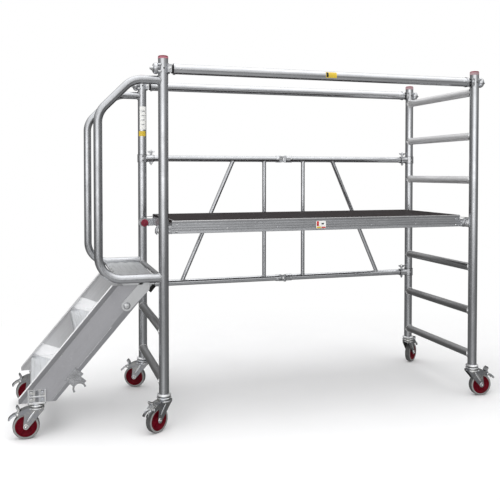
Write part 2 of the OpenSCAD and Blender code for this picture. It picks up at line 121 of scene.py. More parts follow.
# ---------------------------------------------------------------- shader helpers
class Nodes:
    """Builds a node tree; an input can be a socket or a plain value"""

    def __init__(self, tree):
        self.tree = tree
        for old in list(tree.nodes):
            tree.nodes.remove(old)

    def feed(self, socket, value):
        if isinstance(value, bpy.types.NodeSocket):
            self.tree.links.new(value, socket)
        elif socket.type == "RGBA":
            socket.default_value = (*value, 1)
        else:
            socket.default_value = value

    def node(self, kind, inputs=None, **settings):
        new = self.tree.nodes.new("ShaderNode" + kind)
        for key, value in settings.items():
            setattr(new, key, value)
        for key, value in (inputs or {}).items():
            self.feed(new.inputs[key], value)
        return new

    def coords(self, scale=(1, 1, 1), turn=(0, 0, 0)):
        # TEXTURE mapping turns first and scales after, so streaks can run along a slope
        inputs = {
            "Vector": self.node("TexCoord").outputs["Object"],
            "Scale": tuple(1.0 / size for size in scale),
            "Rotation": turn,
        }
        return self.node("Mapping", inputs, vector_type="TEXTURE").outputs["Vector"]

    def noise(self, vector, scale, detail=4.0, rough=0.5, dist=0.0):
        inputs = {"Vector": vector, "Scale": scale, "Detail": detail,
                  "Roughness": rough, "Distortion": dist}
        return self.node("TexNoise", inputs).outputs["Fac"]

    def wave(self, vector, direction, scale):
        inputs = {"Vector": vector, "Scale": scale}
        return self.node("TexWave", inputs, bands_direction=direction).outputs["Fac"]

    def remap(self, value, span, to=(0, 1), **settings):
        """carry the range `span` over to the range `to`"""
        inputs = {0: value, 1: span[0], 2: span[1], 3: to[0], 4: to[1]}
        return self.node("MapRange", inputs, **settings).outputs[0]

    def calc(self, operation, first, second):
        return self.node("Math", {0: first, 1: second}, operation=operation).outputs[0]

    def mix(self, factor, first, second, mode="MIX"):
        inputs = {0: factor, 6: first, 7: second}
        return self.node("Mix", inputs, data_type="RGBA", blend_type=mode).outputs[2]

    def mix_shader(self, factor, first, second):
        return self.node("MixShader", {0: factor, 1: first, 2: second}).outputs[0]

    def dot(self, vector, direction):
        inputs = {0: vector, 1: tuple(direction)}
        return self.node("VectorMath", inputs, operation="DOT_PRODUCT").outputs["Value"]

    def part(self, vector, axis):
        return self.node("SeparateXYZ", {0: vector}).outputs[axis]

    def ramp(self, value, stops):
        """stops: (position, grey level or colour)"""
        new = self.node("ValToRGB", {0: value})
        elements = new.color_ramp.elements
        while len(elements) > 1:
            elements.remove(elements[-1])
        for i, (position, colour) in enumerate(stops):
            stop = elements.new(position) if i else elements[0]
            stop.position = position
            stop.color = (*(colour if isinstance(colour, tuple) else (colour,) * 3), 1)
        return new.outputs[0]


class Shader(Nodes):
    """A material with one principled surface"""

    def __init__(self, name):
        self.material = bpy.data.materials.new(name)
        self.material.use_nodes = True
        super().__init__(self.material.node_tree)
        self.output = self.node("OutputMaterial")
        self.surface = self.node("BsdfPrincipled")
        self.feed(self.output.inputs[0], self.surface.outputs[0])

    def set(self, name, value):
        self.feed(self.surface.inputs[name], value)

    def base_color(self):
        return self.surface.inputs["Base Color"].links[0].from_socket

    def bump(self, height, strength, distance):
        inputs = {"Height": height, "Strength": strength, "Distance": distance}
        self.set("Normal", self.node("Bump", inputs).outputs[0])


def shade(colour, factor):
    return tuple(channel * factor for channel in colour)


def along(axis, fine, coarse):
    """texture scale that is coarse along one axis and fine across it"""
    return tuple(coarse if name == axis else fine for name in "xyz")


# ---------------------------------------------------------------- material families
def aluminium(name, axis="z", base=(0.60, 0.61, 0.63), rough=(0.24, 0.40), turn=(0, 0, 0),
              streak=0.20, fine=420, coarse=4, grime=0.35, foot_shade=1.0):
    """Drawn or extruded: streaks along one axis, cloudy oxide, a few scratches.

    The last argument is painted shade: the brightness low down, which rises to full between 0.65
    and 1.15 m.
    """
    shader = Shader(name)
    noise, remap = shader.noise, shader.remap
    streaks = noise(shader.coords(along(axis, fine, coarse), turn),
                    scale=1.0, detail=5, rough=0.6)
    plain = shader.coords()
    cloud = noise(plain, scale=9.0, detail=5, rough=0.62, dist=0.4)
    specks = noise(plain, scale=420.0, detail=3, rough=0.6)
    scratch = noise(shader.coords(along(axis, 260, 22), turn=(0.31, 0.22, 0.4)),
                    scale=1.0, detail=2)
    scratch = remap(scratch, span=(0.66, 0.70))
    bright = tuple(min(1, channel * (1 + streak * 0.7)) for channel in base)
    colour = shader.mix(remap(streaks, span=(0.35, 0.65)), shade(base, 1 - streak), bright)
    colour = shader.mix(remap(cloud, span=(0.45, 0.75), to=(0, grime)),
                        colour, shade(base, 0.62))
    colour = shader.mix(remap(scratch, span=(0, 1), to=(0, 0.35)), colour, (0.86, 0.87, 0.88))
    # painted shade: the colour darkens towards the floor below 1.15 m
    if foot_shade < 1.0:
        level = remap(shader.part(plain, "Z"), span=(0.65, 1.15), to=(foot_shade, 1.0))
        grey = shader.node("CombineXYZ", {0: level, 1: level, 2: level}).outputs[0]
        colour = shader.mix(1.0, colour, grey, "MULTIPLY")
    shader.set("Base Color", colour)
    shader.set("Metallic", 1.0)
    gloss = remap(streaks, span=(0.3, 0.7), to=rough)
    gloss = shader.calc("ADD", gloss, remap(cloud, span=(0.4, 0.75), to=(-0.02, 0.09)))
    gloss = shader.calc("ADD", gloss, remap(specks, span=(0.55, 0.7), to=(0.0, 0.03)))
    shader.set("Roughness", gloss)
    height = shader.calc("ADD", shader.calc("MULTIPLY", streaks, 0.8),
                         shader.calc("MULTIPLY", specks, 0.12))
    shader.bump(height, strength=0.14, distance=0.00020)
    return shader


def zinc(name, cold=(0.74, 0.76, 0.80), warm=(0.88, 0.88, 0.86), rough=(0.13, 0.27)):
    """plated steel: cold and warm clouds with dull spots"""
    shader = Shader(name)
    plain = shader.coords()
    cloud = shader.noise(plain, scale=34.0, detail=4, rough=0.6, dist=0.5)
    fine = shader.noise(plain, scale=900.0, detail=2)
    colour = shader.mix(shader.remap(cloud, span=(0.38, 0.62)), cold, warm)
    spots = shader.noise(plain, scale=130.0, detail=3, rough=0.7)
    spots = shader.remap(spots, span=(0.66, 0.74), to=(0, 0.3))
    shader.set("Base Color", shader.mix(spots, colour, (0.36, 0.37, 0.38)))
    shader.set("Metallic", 1.0)
    shader.set("Roughness", shader.remap(cloud, span=(0.3, 0.7), to=rough))
    shader.bump(fine, strength=0.08, distance=0.0002)
    return shader


def cast(name, base, rough):
    """cast metal: grainy, with duller clouds"""
    shader = Shader(name)
    plain = shader.coords()
    grain = shader.noise(plain, scale=420.0, detail=3, rough=0.6)
    cloud = shader.noise(plain, scale=45.0, detail=4, rough=0.6)
    colour = shader.mix(shader.remap(cloud, span=(0.4, 0.7), to=(0, 0.8)),
                        base, shade(base, 0.66))
    colour = shader.mix(shader.remap(grain, span=(0.6, 0.75), to=(0, 0.2)),
                        colour, (0.82, 0.82, 0.82))
    shader.set("Base Color", colour)
    shader.set("Metallic", 1.0)
    shader.set("Roughness", shader.remap(grain, span=(0.3, 0.7), to=rough))
    shader.bump(grain, strength=0.2, distance=0.0003)
    return shader


def plastic(name, base, rough, vary, coat=0.0, dust=0.0, spec=0.35):
    """moulded or painted: vary is how much darker the clouds are, dust a pale veil"""
    shader = Shader(name)
    plain = shader.coords()
    grain = shader.noise(plain, scale=500.0, detail=3, rough=0.6)
    cloud = shader.noise(plain, scale=30.0, detail=4, rough=0.6)
    colour = shader.mix(shader.remap(cloud, span=(0.35, 0.7)), base, shade(base, 1 - vary))
    if dust:
        veil = shader.noise(plain, scale=55.0, detail=5, rough=0.7)
        veil = shader.remap(veil, span=(0.5, 0.75), to=(0, dust))
        colour = shader.mix(veil, colour, (0.42, 0.40, 0.38))
    shader.set("Base Color", colour)
    gloss = shader.remap(grain, span=(0.3, 0.7), to=(rough - 0.06, rough + 0.1))
    shader.set("Roughness", gloss)
    shader.set("Coat Weight", coat)
    shader.set("Specular IOR Level", spec)
    shader.bump(grain, strength=0.15, distance=0.0003)
    return shader


# ---------------------------------------------------------------- single materials
def anti_slip_board():
    """film-faced plywood: dark film with a pressed wire-mesh grid and dusty wear"""
    shader = Shader("anti_slip_board")
    plain = shader.coords()
    grid = shader.calc("MAXIMUM", shader.wave(plain, "X", scale=62.0),
                       shader.wave(plain, "Y", scale=62.0))
    wear = shader.noise(plain, scale=7.0, detail=6, rough=0.65, dist=0.3)
    dust = shader.noise(plain, scale=60.0, detail=4, rough=0.7)
    colour = shader.mix(shader.remap(wear, span=(0.4, 0.7)),
                        (0.014, 0.011, 0.012), (0.024, 0.019, 0.019))
    colour = shader.mix(shader.remap(dust, span=(0.5, 0.8), to=(0, 0.10)),
                        colour, (0.12, 0.105, 0.10))
    shader.set("Base Color", colour)
    shader.set("Roughness", shader.remap(wear, span=(0.3, 0.7), to=(0.42, 0.62)))
    shader.set("Specular IOR Level", 0.04)
    height = shader.calc("ADD", grid, shader.calc("MULTIPLY", dust, 0.3))
    shader.bump(height, strength=0.5, distance=0.0006)
    return shader


def tyre_grey():
    shader = Shader("tyre_grey")
    plain = shader.coords()
    grain = shader.noise(plain, scale=700.0, detail=3, rough=0.6)
    cloud = shader.noise(plain, scale=26.0, detail=5, rough=0.65)
    colour = shader.mix(shader.remap(cloud, span=(0.4, 0.7)),
                        (0.085, 0.086, 0.085), (0.045, 0.045, 0.045))
    scuffs = shader.noise(plain, scale=160.0, detail=4, rough=0.7)
    scuffs = shader.remap(scuffs, span=(0.58, 0.72), to=(0, 0.25))
    shader.set("Base Color", shader.mix(scuffs, colour, (0.30, 0.29, 0.27)))
    shader.set("Roughness", shader.remap(grain, span=(0.3, 0.7), to=(0.50, 0.72)))
    shader.bump(grain, strength=0.3, distance=0.0004)
    return shader


def rung_tube():
    """painted shade low down, less metallic high up"""
    shader = aluminium("tube_rung", "y", base=(0.80, 0.80, 0.81), rough=(0.26, 0.40),
                       streak=0.14, foot_shade=0.52)
    height = shader.part(shader.coords(), "Z")
    shader.set("Metallic", shader.remap(height, span=(0.85, 1.15), to=(1.0, 0.76)))
    return shader


def rail_extrusion():
    """pressed ribs along the extrusion drawn as painted shade in the grooves, and a painted
    highlight along the top lip
    """
    shader = aluminium("rail_extrusion", "x", rough=(0.22, 0.34), fine=900, coarse=5)
    ribs = shader.wave(shader.coords(), "Z", scale=30.0)
    height = shader.part(shader.coords(), "Z")
    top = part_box("deck_rails")[1].z
    # painted shade: dark stripes between the ribs
    groove_shade = shader.remap(ribs, span=(0.15, 0.55), to=(0.30, 0.0))
    colour = shader.mix(groove_shade, shader.base_color(), (0.24, 0.24, 0.25))
    # painted highlight: the top 3.5 mm of the rail turned almost white
    lip = shader.remap(height, span=(top - 0.0045, top - 0.0035))
    shader.set("Base Color", shader.mix(lip, colour, (0.92, 0.92, 0.93)))
    return shader


def stringer_sheet(name, base, edge, pale):
    """Folded sheet: painted shade makes the strips at its rims darker than the web between them.

    edge is the upper band's painted brightness; pale paints a highlight, turning the upward lip
    almost white.
    """
    shader = aluminium(name, "x", base=base, rough=(0.40, 0.54), turn=(0, -SLOPE, 0),
                       fine=600, coarse=5, streak=0.07, grime=0.16)
    source = shader.base_color()
    coords = shader.node("TexCoord").outputs
    down = Vector((math.sin(SLOPE), 0, -math.cos(SLOPE)))
    corner = place(STRINGER_X, 0, STRINGER_Z)
    offset = corner.x * math.sin(SLOPE) - corner.z * math.cos(SLOPE)
    depth = shader.calc("SUBTRACT", shader.dot(coords["Object"], down), offset)
    # painted shade: brightness from the upper edge (0) to 200 mm below it (1)
    painted_bands = shader.ramp(shader.remap(depth, span=(0.0, 0.20)), [
        (0.0, edge), (0.105, edge * 0.97), (0.112, 0.98), (0.45, 1.0), (0.62, 0.95),
        (0.63, 0.72), (1.0, (0.60, 0.61, 0.63))])
    colour = shader.mix(1.0, source, painted_bands, "MULTIPLY")
    # painted highlight on the upward-facing lip
    if pale:
        lip = shader.remap(shader.dot(coords["Normal"], -down), span=(0.80, 0.90))
        colour = shader.mix(lip, colour, (0.97, 0.97, 0.98))
        shader.set("Metallic", shader.remap(lip, span=(0, 1), to=(1.0, 0.05)))
    shader.set("Base Color", colour)
    return shader


def tread_plate():
    """the top is duller than the upturned ends: painted shade on the top and a painted highlight
    on the ends, which are paler, less metallic and glow faintly
    """
    shader = aluminium("tread_plate_painted_light", "y", base=(0.86, 0.87, 0.88),
                       rough=(0.42, 0.55), coarse=8, streak=0.05, grime=0.10)
    source = shader.base_color()
    across = shader.part(shader.node("TexCoord").outputs["Object"], "Y")
    front, rear = (place(0, y, 0).y for y, _ in sides(69.6))
    fade = 0.0003  # metres from top to end
    end = shader.calc("MAXIMUM", shader.remap(across, span=(front, front - fade)),
                      shader.remap(across, span=(rear, rear + fade)))
    # painted shade on the top, painted highlight on the ends
    top_shade_colour = shader.mix(1.0, source, (0.90, 0.91, 0.92), "MULTIPLY")
    end_highlight_colour = shader.mix(0.9, source, (0.88, 0.88, 0.89))
    shader.set("Base Color", shader.mix(end, top_shade_colour, end_highlight_colour))
    # painted highlight: the ends glow faintly
    shader.set("Emission Color", (0.96, 0.98, 1.0))
    shader.set("Emission Strength", shader.remap(end, span=(0, 1), to=(0.0, 0.03)))
    shader.set("Metallic", shader.remap(end, span=(0, 1), to=(1.0, 0.10)))
    return shader


UPRIGHT = aluminium("tube_vertical", "z", rough=(0.12, 0.22), streak=0.14)
LONG_TUBE = aluminium("tube_long", "x", base=(0.68, 0.69, 0.71), rough=(0.15, 0.27))
RUNG = rung_tube()
BENT_TUBE = aluminium("tube_bent", "z", base=(0.54, 0.55, 0.57), rough=(0.13, 0.24),
                      fine=240, coarse=60, streak=0.12)
BRACE_TUBE = aluminium("tube_brace", "x", rough=(0.15, 0.27), fine=260, coarse=30,
                       streak=0.14)
DECK_RAIL = rail_extrusion()
# one folded sheet in two painted lightings: a darker, shaded copy for the front stringer and a
# paler, lit copy for the rear one
STRINGER_FRONT_SHADED = stringer_sheet("stringer_sheet", base=(0.555, 0.555, 0.58),
                                edge=0.62, pale=True)
STRINGER_REAR_LIT = stringer_sheet("stringer_sheet_rear_lit", base=(0.79, 0.79, 0.80),
                               edge=0.92, pale=False)
TREAD_LIT_ENDS = tread_plate()
# near-white and not metallic: a painted highlight on the gusset plates
GUSSET_HIGHLIGHT = plastic("gusset_painted_highlight", (0.83, 0.835, 0.845), rough=0.45, vary=0.05, spec=0.3)
STRAP = aluminium("strap_plate", "x", base=(0.80, 0.81, 0.82), rough=(0.32, 0.46),
                  turn=(0, -SLOPE, 0), fine=500, coarse=8, streak=0.06, grime=0.15)
NOSING = aluminium("nosing_bright", "y", base=(0.88, 0.88, 0.89), rough=(0.22, 0.40),
                   fine=90, coarse=30, streak=0.14, grime=0.2)
LANDING = aluminium("landing_sheet", "y", base=(0.64, 0.65, 0.66), rough=(0.36, 0.50),
                    fine=380, coarse=8, grime=0.25)
TREAD_RIB = aluminium("tread_sheet", "y", base=(0.84, 0.85, 0.86), rough=(0.40, 0.55),
                      coarse=8, streak=0.08, grime=0.12)
CROSSBAR = aluminium("crossbar", "y", base=(0.55, 0.56, 0.58), rough=(0.34, 0.5))
CAST = cast("cast_alloy", base=(0.66, 0.67, 0.69), rough=(0.18, 0.32))
DULL_STEEL = cast("pedal_steel", base=(0.40, 0.41, 0.43), rough=(0.20, 0.36))
WELD = cast("weld_bead", base=(0.80, 0.80, 0.80), rough=(0.14, 0.30))
ZINC = zinc("zinc_plate")
FORK = zinc("zinc_fork", cold=(0.40, 0.41, 0.44), warm=(0.52, 0.52, 0.51),
            rough=(0.15, 0.28))
PALE_ZINC = zinc("zinc_ring", cold=(0.90, 0.91, 0.93), warm=(0.95, 0.95, 0.95),
                 rough=(0.30, 0.42))
# near-black painted shade for the pedal tips and their rolled lip
PEDAL_SHADE = cast("pedal_painted_shade", base=(0.06, 0.06, 0.065), rough=(0.30, 0.45))
TYRE_WALL = plastic("tyre_wall_pale", (0.25, 0.25, 0.245), rough=0.5, vary=0.22)
# the same red skirt twice: the right one paler and greyer, a painted sheen
SKIRT_RIGHT_SHEEN = plastic("red_skirt_painted_sheen", (0.40, 0.27, 0.29), rough=0.35, vary=0.30, coat=0.2)
SKIRT_LEFT = plastic("red_skirt", (0.42, 0.16, 0.20), rough=0.32, vary=0.35, coat=0.2)
RED_CAP = plastic("red_cap", (0.19, 0.012, 0.030), rough=0.34, vary=0.30, coat=0.1)
WHEEL_CORE = plastic("wheel_core_red", (0.125, 0.0015, 0.008), rough=0.30, vary=0.45,
                     spec=0.08)
TYRE = tyre_grey()
BOARD = anti_slip_board()
BLACK = plastic("black_plug", (0.010, 0.010, 0.010), rough=0.45, vary=0.3, dust=0.05,
                spec=0.2)
DARK = plastic("dark_gap", (0.018, 0.018, 0.020), rough=0.55, vary=0.3)
WHITE = plastic("label_white", (0.74, 0.74, 0.72), rough=0.35, vary=0.08, coat=0.3)
YELLOW = plastic("label_yellow", (0.60, 0.43, 0.035), rough=0.35, vary=0.15, coat=0.3)
RED = plastic("label_red", (0.50, 0.03, 0.03), rough=0.35, vary=0.2, coat=0.3)


# ---------------------------------------------------------------- mesh helpers
def frame_about(direction):
    """unit vector along a direction and two across it"""
    axis = Vector(direction).normalized()
    side = axis.orthogonal().normalized()
    return axis, side, axis.cross(side)


def angles(count):
    return [2 * math.pi * i / count for i in range(count)]


class Shells:
    """Closed shells gathered into one mesh; sizes in mm, centres from place()"""

    def __init__(self):
        self.verts, self.faces = [], []

    def add(self, verts, faces):
        first = len(self.verts)
        self.verts += verts
        self.faces += [tuple(i + first for i in face) for face in faces]

    def loft(self, rings):
        """skin over a row of rings, capped at both ends"""
        count = len(rings[0])
        last = (len(rings) - 1) * count
        faces = []
        for near in range(0, last, count):
            far = near + count
            for i in range(count):
                j = (i + 1) % count
                faces.append((near + i, near + j, far + j, far + i))
        faces.append(tuple(reversed(range(count))))
        faces.append(tuple(range(last, last + count)))
        self.add([vert for ring in rings for vert in ring], faces)

    def wrap(self, rings):
        """skin over rings that run round and meet again"""
        count = len(rings[0])
        faces = []
        for ring in range(len(rings)):
            near, far = ring * count, (ring + 1) % len(rings) * count
            for i in range(count):
                j = (i + 1) % count
                faces.append((near + i, far + i, far + j, near + j))
        self.add([vert for ring in rings for vert in ring], faces)

    def revolve(self, center, axis, profile, seg=40):
        """profile: (distance along the axis, radius), a closed loop round the section"""
        axis, side, other = frame_about(axis)
        rings = []
        for turn in angles(seg):
            out = side * math.cos(turn) + other * math.sin(turn)
            rings.append([center + axis * (s * MM) + out * (r * MM) for s, r in profile])
        self.wrap(rings)

    def dome(self, center, axis, radius, height, seg=20):
        """a rivet or screw head, sunk 0.6 mm into its seat"""
        profile = [(-0.6, 0.01), (-0.6, radius)]
        for i in range(6):
            rise = math.pi / 2 * i / 5
            profile.append((height * math.sin(rise), max(radius * math.cos(rise), 0.01)))
        self.revolve(center, axis, profile, seg)

    def hexagon(self, center, axis, flats, height):
        """a nut or bolt head, `flats` across, chamfered on top"""
        chamfer = 0.8
        axis, side, other = frame_about(axis)
        corner = flats / math.sqrt(3)
        rings = []
        for s, r in ((0, corner), (height - chamfer, corner),
                     (height, corner - chamfer * 1.6)):
            rings.append([])
            for i in range(6):
                turn = math.pi / 3 * i
                out = side * math.cos(turn) + other * math.sin(turn)
                rings[-1].append(center + axis * (s * MM) + out * (r * MM))
        self.loft(rings)

    def tube(self, points, radius, seg):
        """a round bar through points, its rings carried along without twisting"""
        side = (points[1] - points[0]).normalized().orthogonal().normalized()
        last = len(points) - 1
        rings = []
        for i, point in enumerate(points):
            ahead = (points[min(i + 1, last)] - points[max(i - 1, 0)]).normalized()
            side = (side - ahead * side.dot(ahead)).normalized()
            other = ahead.cross(side)
            rings.append([
                point + (side * math.cos(turn) + other * math.sin(turn)) * (radius * MM)
                for turn in angles(seg)])
        self.loft(rings)

    def plate(self, outline, origin, thick, up=Z, out=Y):
        """an outline in the X and `up` plane, thickened along `out`"""
        count = len(outline)
        verts = [origin + X * (a * MM) + up * (b * MM) for a, b in outline]
        verts += [vert + out * (thick * MM) for vert in verts]
        faces = [tuple(reversed(range(count))), tuple(range(count, 2 * count))]
        for i in range(count):
            j = (i + 1) % count
            faces.append((i, j, count + j, count + i))
        self.add(verts, faces)

    def saddle_bead(self, center, base_axis, out, radius, base_radius, size,
                    lean=0.0, phase=0.0):
        """rippled weld bead where a tube going `out` meets the base tube"""
        base_axis = Vector(base_axis).normalized()
        out = Vector(out).normalized()
        across = base_axis.cross(out)
        stretch = 1 / math.cos(lean)
        rings = []
        for t in angles(108):
            side = radius * math.cos(t)
            ahead = radius * math.sin(t) * stretch
            ripple = 0.5 + 0.5 * math.cos(t * 30 + phase)
            bead = size * (0.86 + 0.22 * ripple + 0.10 * math.sin(3.1 * t + phase * 2.3))
            depth = math.sqrt(max(base_radius * base_radius - side * side, 0))
            point = (center + across * (side * MM) + base_axis * (ahead * MM)
                     + out * (depth * MM))
            point = point + base_axis * (math.tan(lean) * depth * MM)
            outward = (across * math.cos(t) + base_axis * math.sin(t)).normalized()
            normal = (out * depth + across * side).normalized()
            rings.append([
                point + outward * (bead * (0.45 + math.cos(q)) * MM)
                + normal * (bead * (0.45 + math.sin(q)) * MM) for q in angles(8)])
        self.wrap(rings)

    def line_bead(self, start, end, size, phase=0.0):
        """a straight rippled weld bead with thinner ends"""
        length = (end - start).length
        count = max(12, int(length / (BEAD_PITCH / 3)))
        _, side, other = frame_about(end - start)
        rings = []
        for i in range(count + 1):
            t = i / count
            taper = min(1.0, min(t, 1 - t) * count / 3 + 0.35)
            ripple = math.cos(t * length / BEAD_PITCH * 2 * math.pi + phase)
            radius = size * taper * (0.85 + 0.2 * ripple + 0.08 * math.sin(37 * t + phase))
            point = start.lerp(end, t)
            rings.append([
                point + (side * math.cos(q) + other * math.sin(q)) * (radius * MM)
                for q in angles(8)])
        self.loft(rings)

    def make(self, name, body, look, slot, smooth=40):
        mesh = bpy.data.meshes.new(name)
        mesh.from_pydata([tuple(vert) for vert in self.verts], [], self.faces)
        mesh.validate()
        bm = bmesh.new()
        bm.from_mesh(mesh)
        bmesh.ops.remove_doubles(bm, verts=bm.verts, dist=1e-6)
        bmesh.ops.recalc_face_normals(bm, faces=bm.faces)
        bm.to_mesh(mesh)
        bm.free()
        mesh.shade_smooth()
        mesh.set_sharp_from_angle(angle=math.radians(smooth))
        obj = bpy.data.objects.new(name, mesh)
        scene.collection.objects.link(obj)
        mesh.materials.append(look.material)
        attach(obj, body)
        return obj


def bevel(obj, width, segments=2, angle=35):
    modifier = obj.modifiers.new("edge", "BEVEL")
    modifier.width = width * MM
    modifier.segments = segments
    modifier.limit_method = "ANGLE"
    modifier.angle_limit = math.radians(angle)
    modifier.harden_normals = False


def tube_label(name, center, axis, facing, length, arc, body, look, lift=0.4):
    """a thin film bent round an upright-sized tube over `arc` degrees"""
    facing = Vector(facing)
    facing = (facing - axis * facing.dot(axis)).normalized()
    other = axis.cross(facing)
    steps = 20
    verts = []
    for radius in (UPRIGHT_RADIUS + lift, UPRIGHT_RADIUS + 0.05):
        for i in range(steps + 1):
            turn = math.radians(arc) * (i / steps - 0.5)
            out = facing * math.cos(turn) + other * math.sin(turn)
            for end in (-0.5, 0.5):
                verts.append(center + axis * (end * length * MM) + out * (radius * MM))
    under = 2 * (steps + 1)
    faces = []
    for i in range(0, 2 * steps, 2):
        faces += [
            (i, i + 1, i + 3, i + 2),
            (under + i, under + i + 2, under + i + 3, under + i + 1),
            (i, i + 2, under + i + 2, under + i),
            (i + 1, under + i + 1, under + i + 3, i + 3)]
    last = 2 * steps
    faces.append((0, under, under + 1, 1))
    faces.append((last, last + 1, under + last + 1, under + last))
    label = Shells()
    label.add(verts, faces)
    label.make(name, body, look, "tube", 60)


# ---------------------------------------------------------------- finishes of the CAD pieces
FINISHES = [
    (UPRIGHT, "uprights_right uprights_left"),
    (RUNG, "rungs_right rungs_left stubs_left"),
    (RED_CAP, "caps_right caps_left"),
    (ZINC, "stems_right stems_left stems_stair stair_bolts"),
    (CAST, "rail_bolts_left rail_bolts_right stair_hooks deck_claws couplers_front"
           " couplers_rear brace_ends_right brace_ends_left"),
    (LANDING, "landing"),
    (NOSING, "landing_nosing"),
    (STRAP, "stair_brackets"),
    (BLACK, "stair_plugs"),
    (STRINGER_FRONT_SHADED, "stringer_front"),
    (STRINGER_REAR_LIT, "stringer_rear"),
    (TREAD_LIT_ENDS, "tread_upper tread_lower"),
    (BOARD, "deck_board"),
    (DECK_RAIL, "deck_rails"),
    (CROSSBAR, "deck_crossbars"),
    (LONG_TUBE, "guardrail_front guardrail_rear"),
    (BRACE_TUBE, "brace_right brace_left"),
    (BENT_TUBE, "loop_front loop_rear"),
]
# bevel width: the pieces with softened edges
SOFT_EDGES = [
    (2.0, "stair_plugs"),
    (1.5, "deck_claws"),
    (1.0, "stair_hooks stair_brackets landing deck_board brace_ends_right brace_ends_left"
          " couplers_front couplers_rear deck_crossbars"),
    (0.8, "stringer_front stringer_rear stems_stair"),
    (0.7, "tread_upper tread_lower"),
    (0.4, "deck_rails"),
]


def by_piece(table):
    return {name: value for value, names in table for name in names.split()}


def finish_cad_pieces():
    looks, widths = by_piece(FINISHES), by_piece(SOFT_EDGES)
    for key in CASTERS:
        looks["fork_" + key] = FORK
        looks["brake_" + key] = ZINC
        looks["core_" + key] = WHEEL_CORE
        looks["tyre_" + key] = TYRE
        widths["fork_" + key] = 0.7
        widths["brake_" + key] = 1.2
    for name, obj in cad_nodes.items():
        obj.data.materials.clear()
        obj.data.materials.append(looks[name].material)
        if name in widths:
            merge = obj.modifiers.new("weld", "WELD")
            merge.merge_threshold = 0.00002
            bevel(obj, widths[name], angle=38)
            normals = obj.modifiers.new("wn", "WEIGHTED_NORMAL")
            normals.keep_sharp = False


finish_cad_pieces()


# ---------------------------------------------------------------- guard loops
def loop_points(y):
    """tube axis: top run, a 45 degree slope down to the left, down, and back along the foot"""
    cut = LOOP_BEND * math.tan(math.radians(22.5))
    slope_x = -150.0  # corner between the top run and the slope
    slope_end_z = LOOP_TOP - (slope_x - LOOP_LEFT) - cut
    points = [(-12, LOOP_TOP), (-40, LOOP_TOP), (-70, LOOP_TOP)]
    # bends: centre x, z, first and last angle, steps
    for x, z, start, end, steps in (
        (slope_x + cut, LOOP_TOP - LOOP_BEND, 90, 135, 14),
        (LOOP_LEFT + LOOP_BEND, slope_end_z, 135, 180, 14),
        (LOOP_LEFT + LOOP_BEND, LOOP_BOTTOM + LOOP_BEND, 180, 270, 24),
    ):
        for i in range(steps + 1):
            turn = math.radians(start + (end - start) * i / steps)
            points.append((x + LOOP_BEND * math.cos(turn), z + LOOP_BEND * math.sin(turn)))
    points += [(-120, LOOP_BOTTOM), (-60, LOOP_BOTTOM), (-12, LOOP_BOTTOM)]
    return [place(x, y, z) for x, z in points]


for tag, y in (("front", 0.0), ("rear", WIDTH)):
    loop = Shells()
    loop.tube(loop_points(y), LOOP_RADIUS, 40)
    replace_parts(loop.make("loop_tube_" + tag, "frame_left", BENT_TUBE, "tube", 50),
                "loop_" + tag)


# ---------------------------------------------------------------- weld beads on the frames
def rung_beads(beads, x, z, radius, size, phases):
    for (y, inward), phase in zip(sides(0), phases):
        beads.saddle_bead(place(x, y, z), Z, Y * inward, radius, UPRIGHT_RADIUS, size,
                          phase=phase)


def landing_beads(beads):
    """stitches that hold the landing plate, on its underside"""
    for y, inward in sides(0):
        edge = y + inward * 20.2
        for start, end in ((-196, -166), (-146, -112), (-92, -60)):
            beads.line_bead(place(start, edge, 750.6), place(end, edge, 750.6), 2.2,
                            phase=start)
    # rows across the width: x, z, first y, pitch, count, length, size, phase step
    for x, z, first, pitch, count, length, size, step in (
        (-19.5, 751.8, 60, 106, 6, 46, 2.0, 1),
        (-211.5, 750.2, 34, 96, 7, 34, 1.7, 2),
    ):
        for i in range(count):
            y = first + i * pitch
            beads.line_bead(place(x, y, z), place(x, y + length, z), size, phase=i * step)
    for y, inward in sides(58.4):
        y += inward * 1.5
        beads.line_bead(place(-95, y, 742.2), place(-66, y, 742.2), 1.9)


def frame_beads():
    right, left = Shells(), Shells()
    for i in range(7):
        rung_beads(right, LENGTH, RUNG_BASE + RUNG_PITCH * i, RUNG_RADIUS, 2.6,
                   (i * 1.3, i * 2.1))
    right.make("weld_beads_right", "frame_right", WELD, "cast_alloy", 70)
    # left frame: rung or stub height, radius, bead size
    for i, (z, radius, size) in enumerate((
        (RUNG_BASE, RUNG_RADIUS, 2.6), (RUNG_BASE + RUNG_PITCH, RUNG_RADIUS, 2.6),
        (747, 12.5, 2.1), (DECK_RUNG_Z, RUNG_RADIUS, 2.6),
    )):
        rung_beads(left, 0, z, radius, size, (i * 1.7, i * 0.9))
    for i, z in enumerate((LOOP_TOP, LOOP_BOTTOM)):
        for y, step in ((0, 1.1), (WIDTH, 2.6)):
            left.saddle_bead(place(0, y, z), Z, -X, LOOP_RADIUS, UPRIGHT_RADIUS, 2.7,
                             phase=i * step)
    landing_beads(left)
    left.make("weld_beads_left", "frame_left", WELD, "cast_alloy", 70)


frame_beads()

# ---------------------------------------------------------------- folding brace, at the rear
WING = [(3, 34), (7, 41), (15, 46), (22, 45), (22, 39), (14, 34), (7, 28), (3, 27)]  # x, z


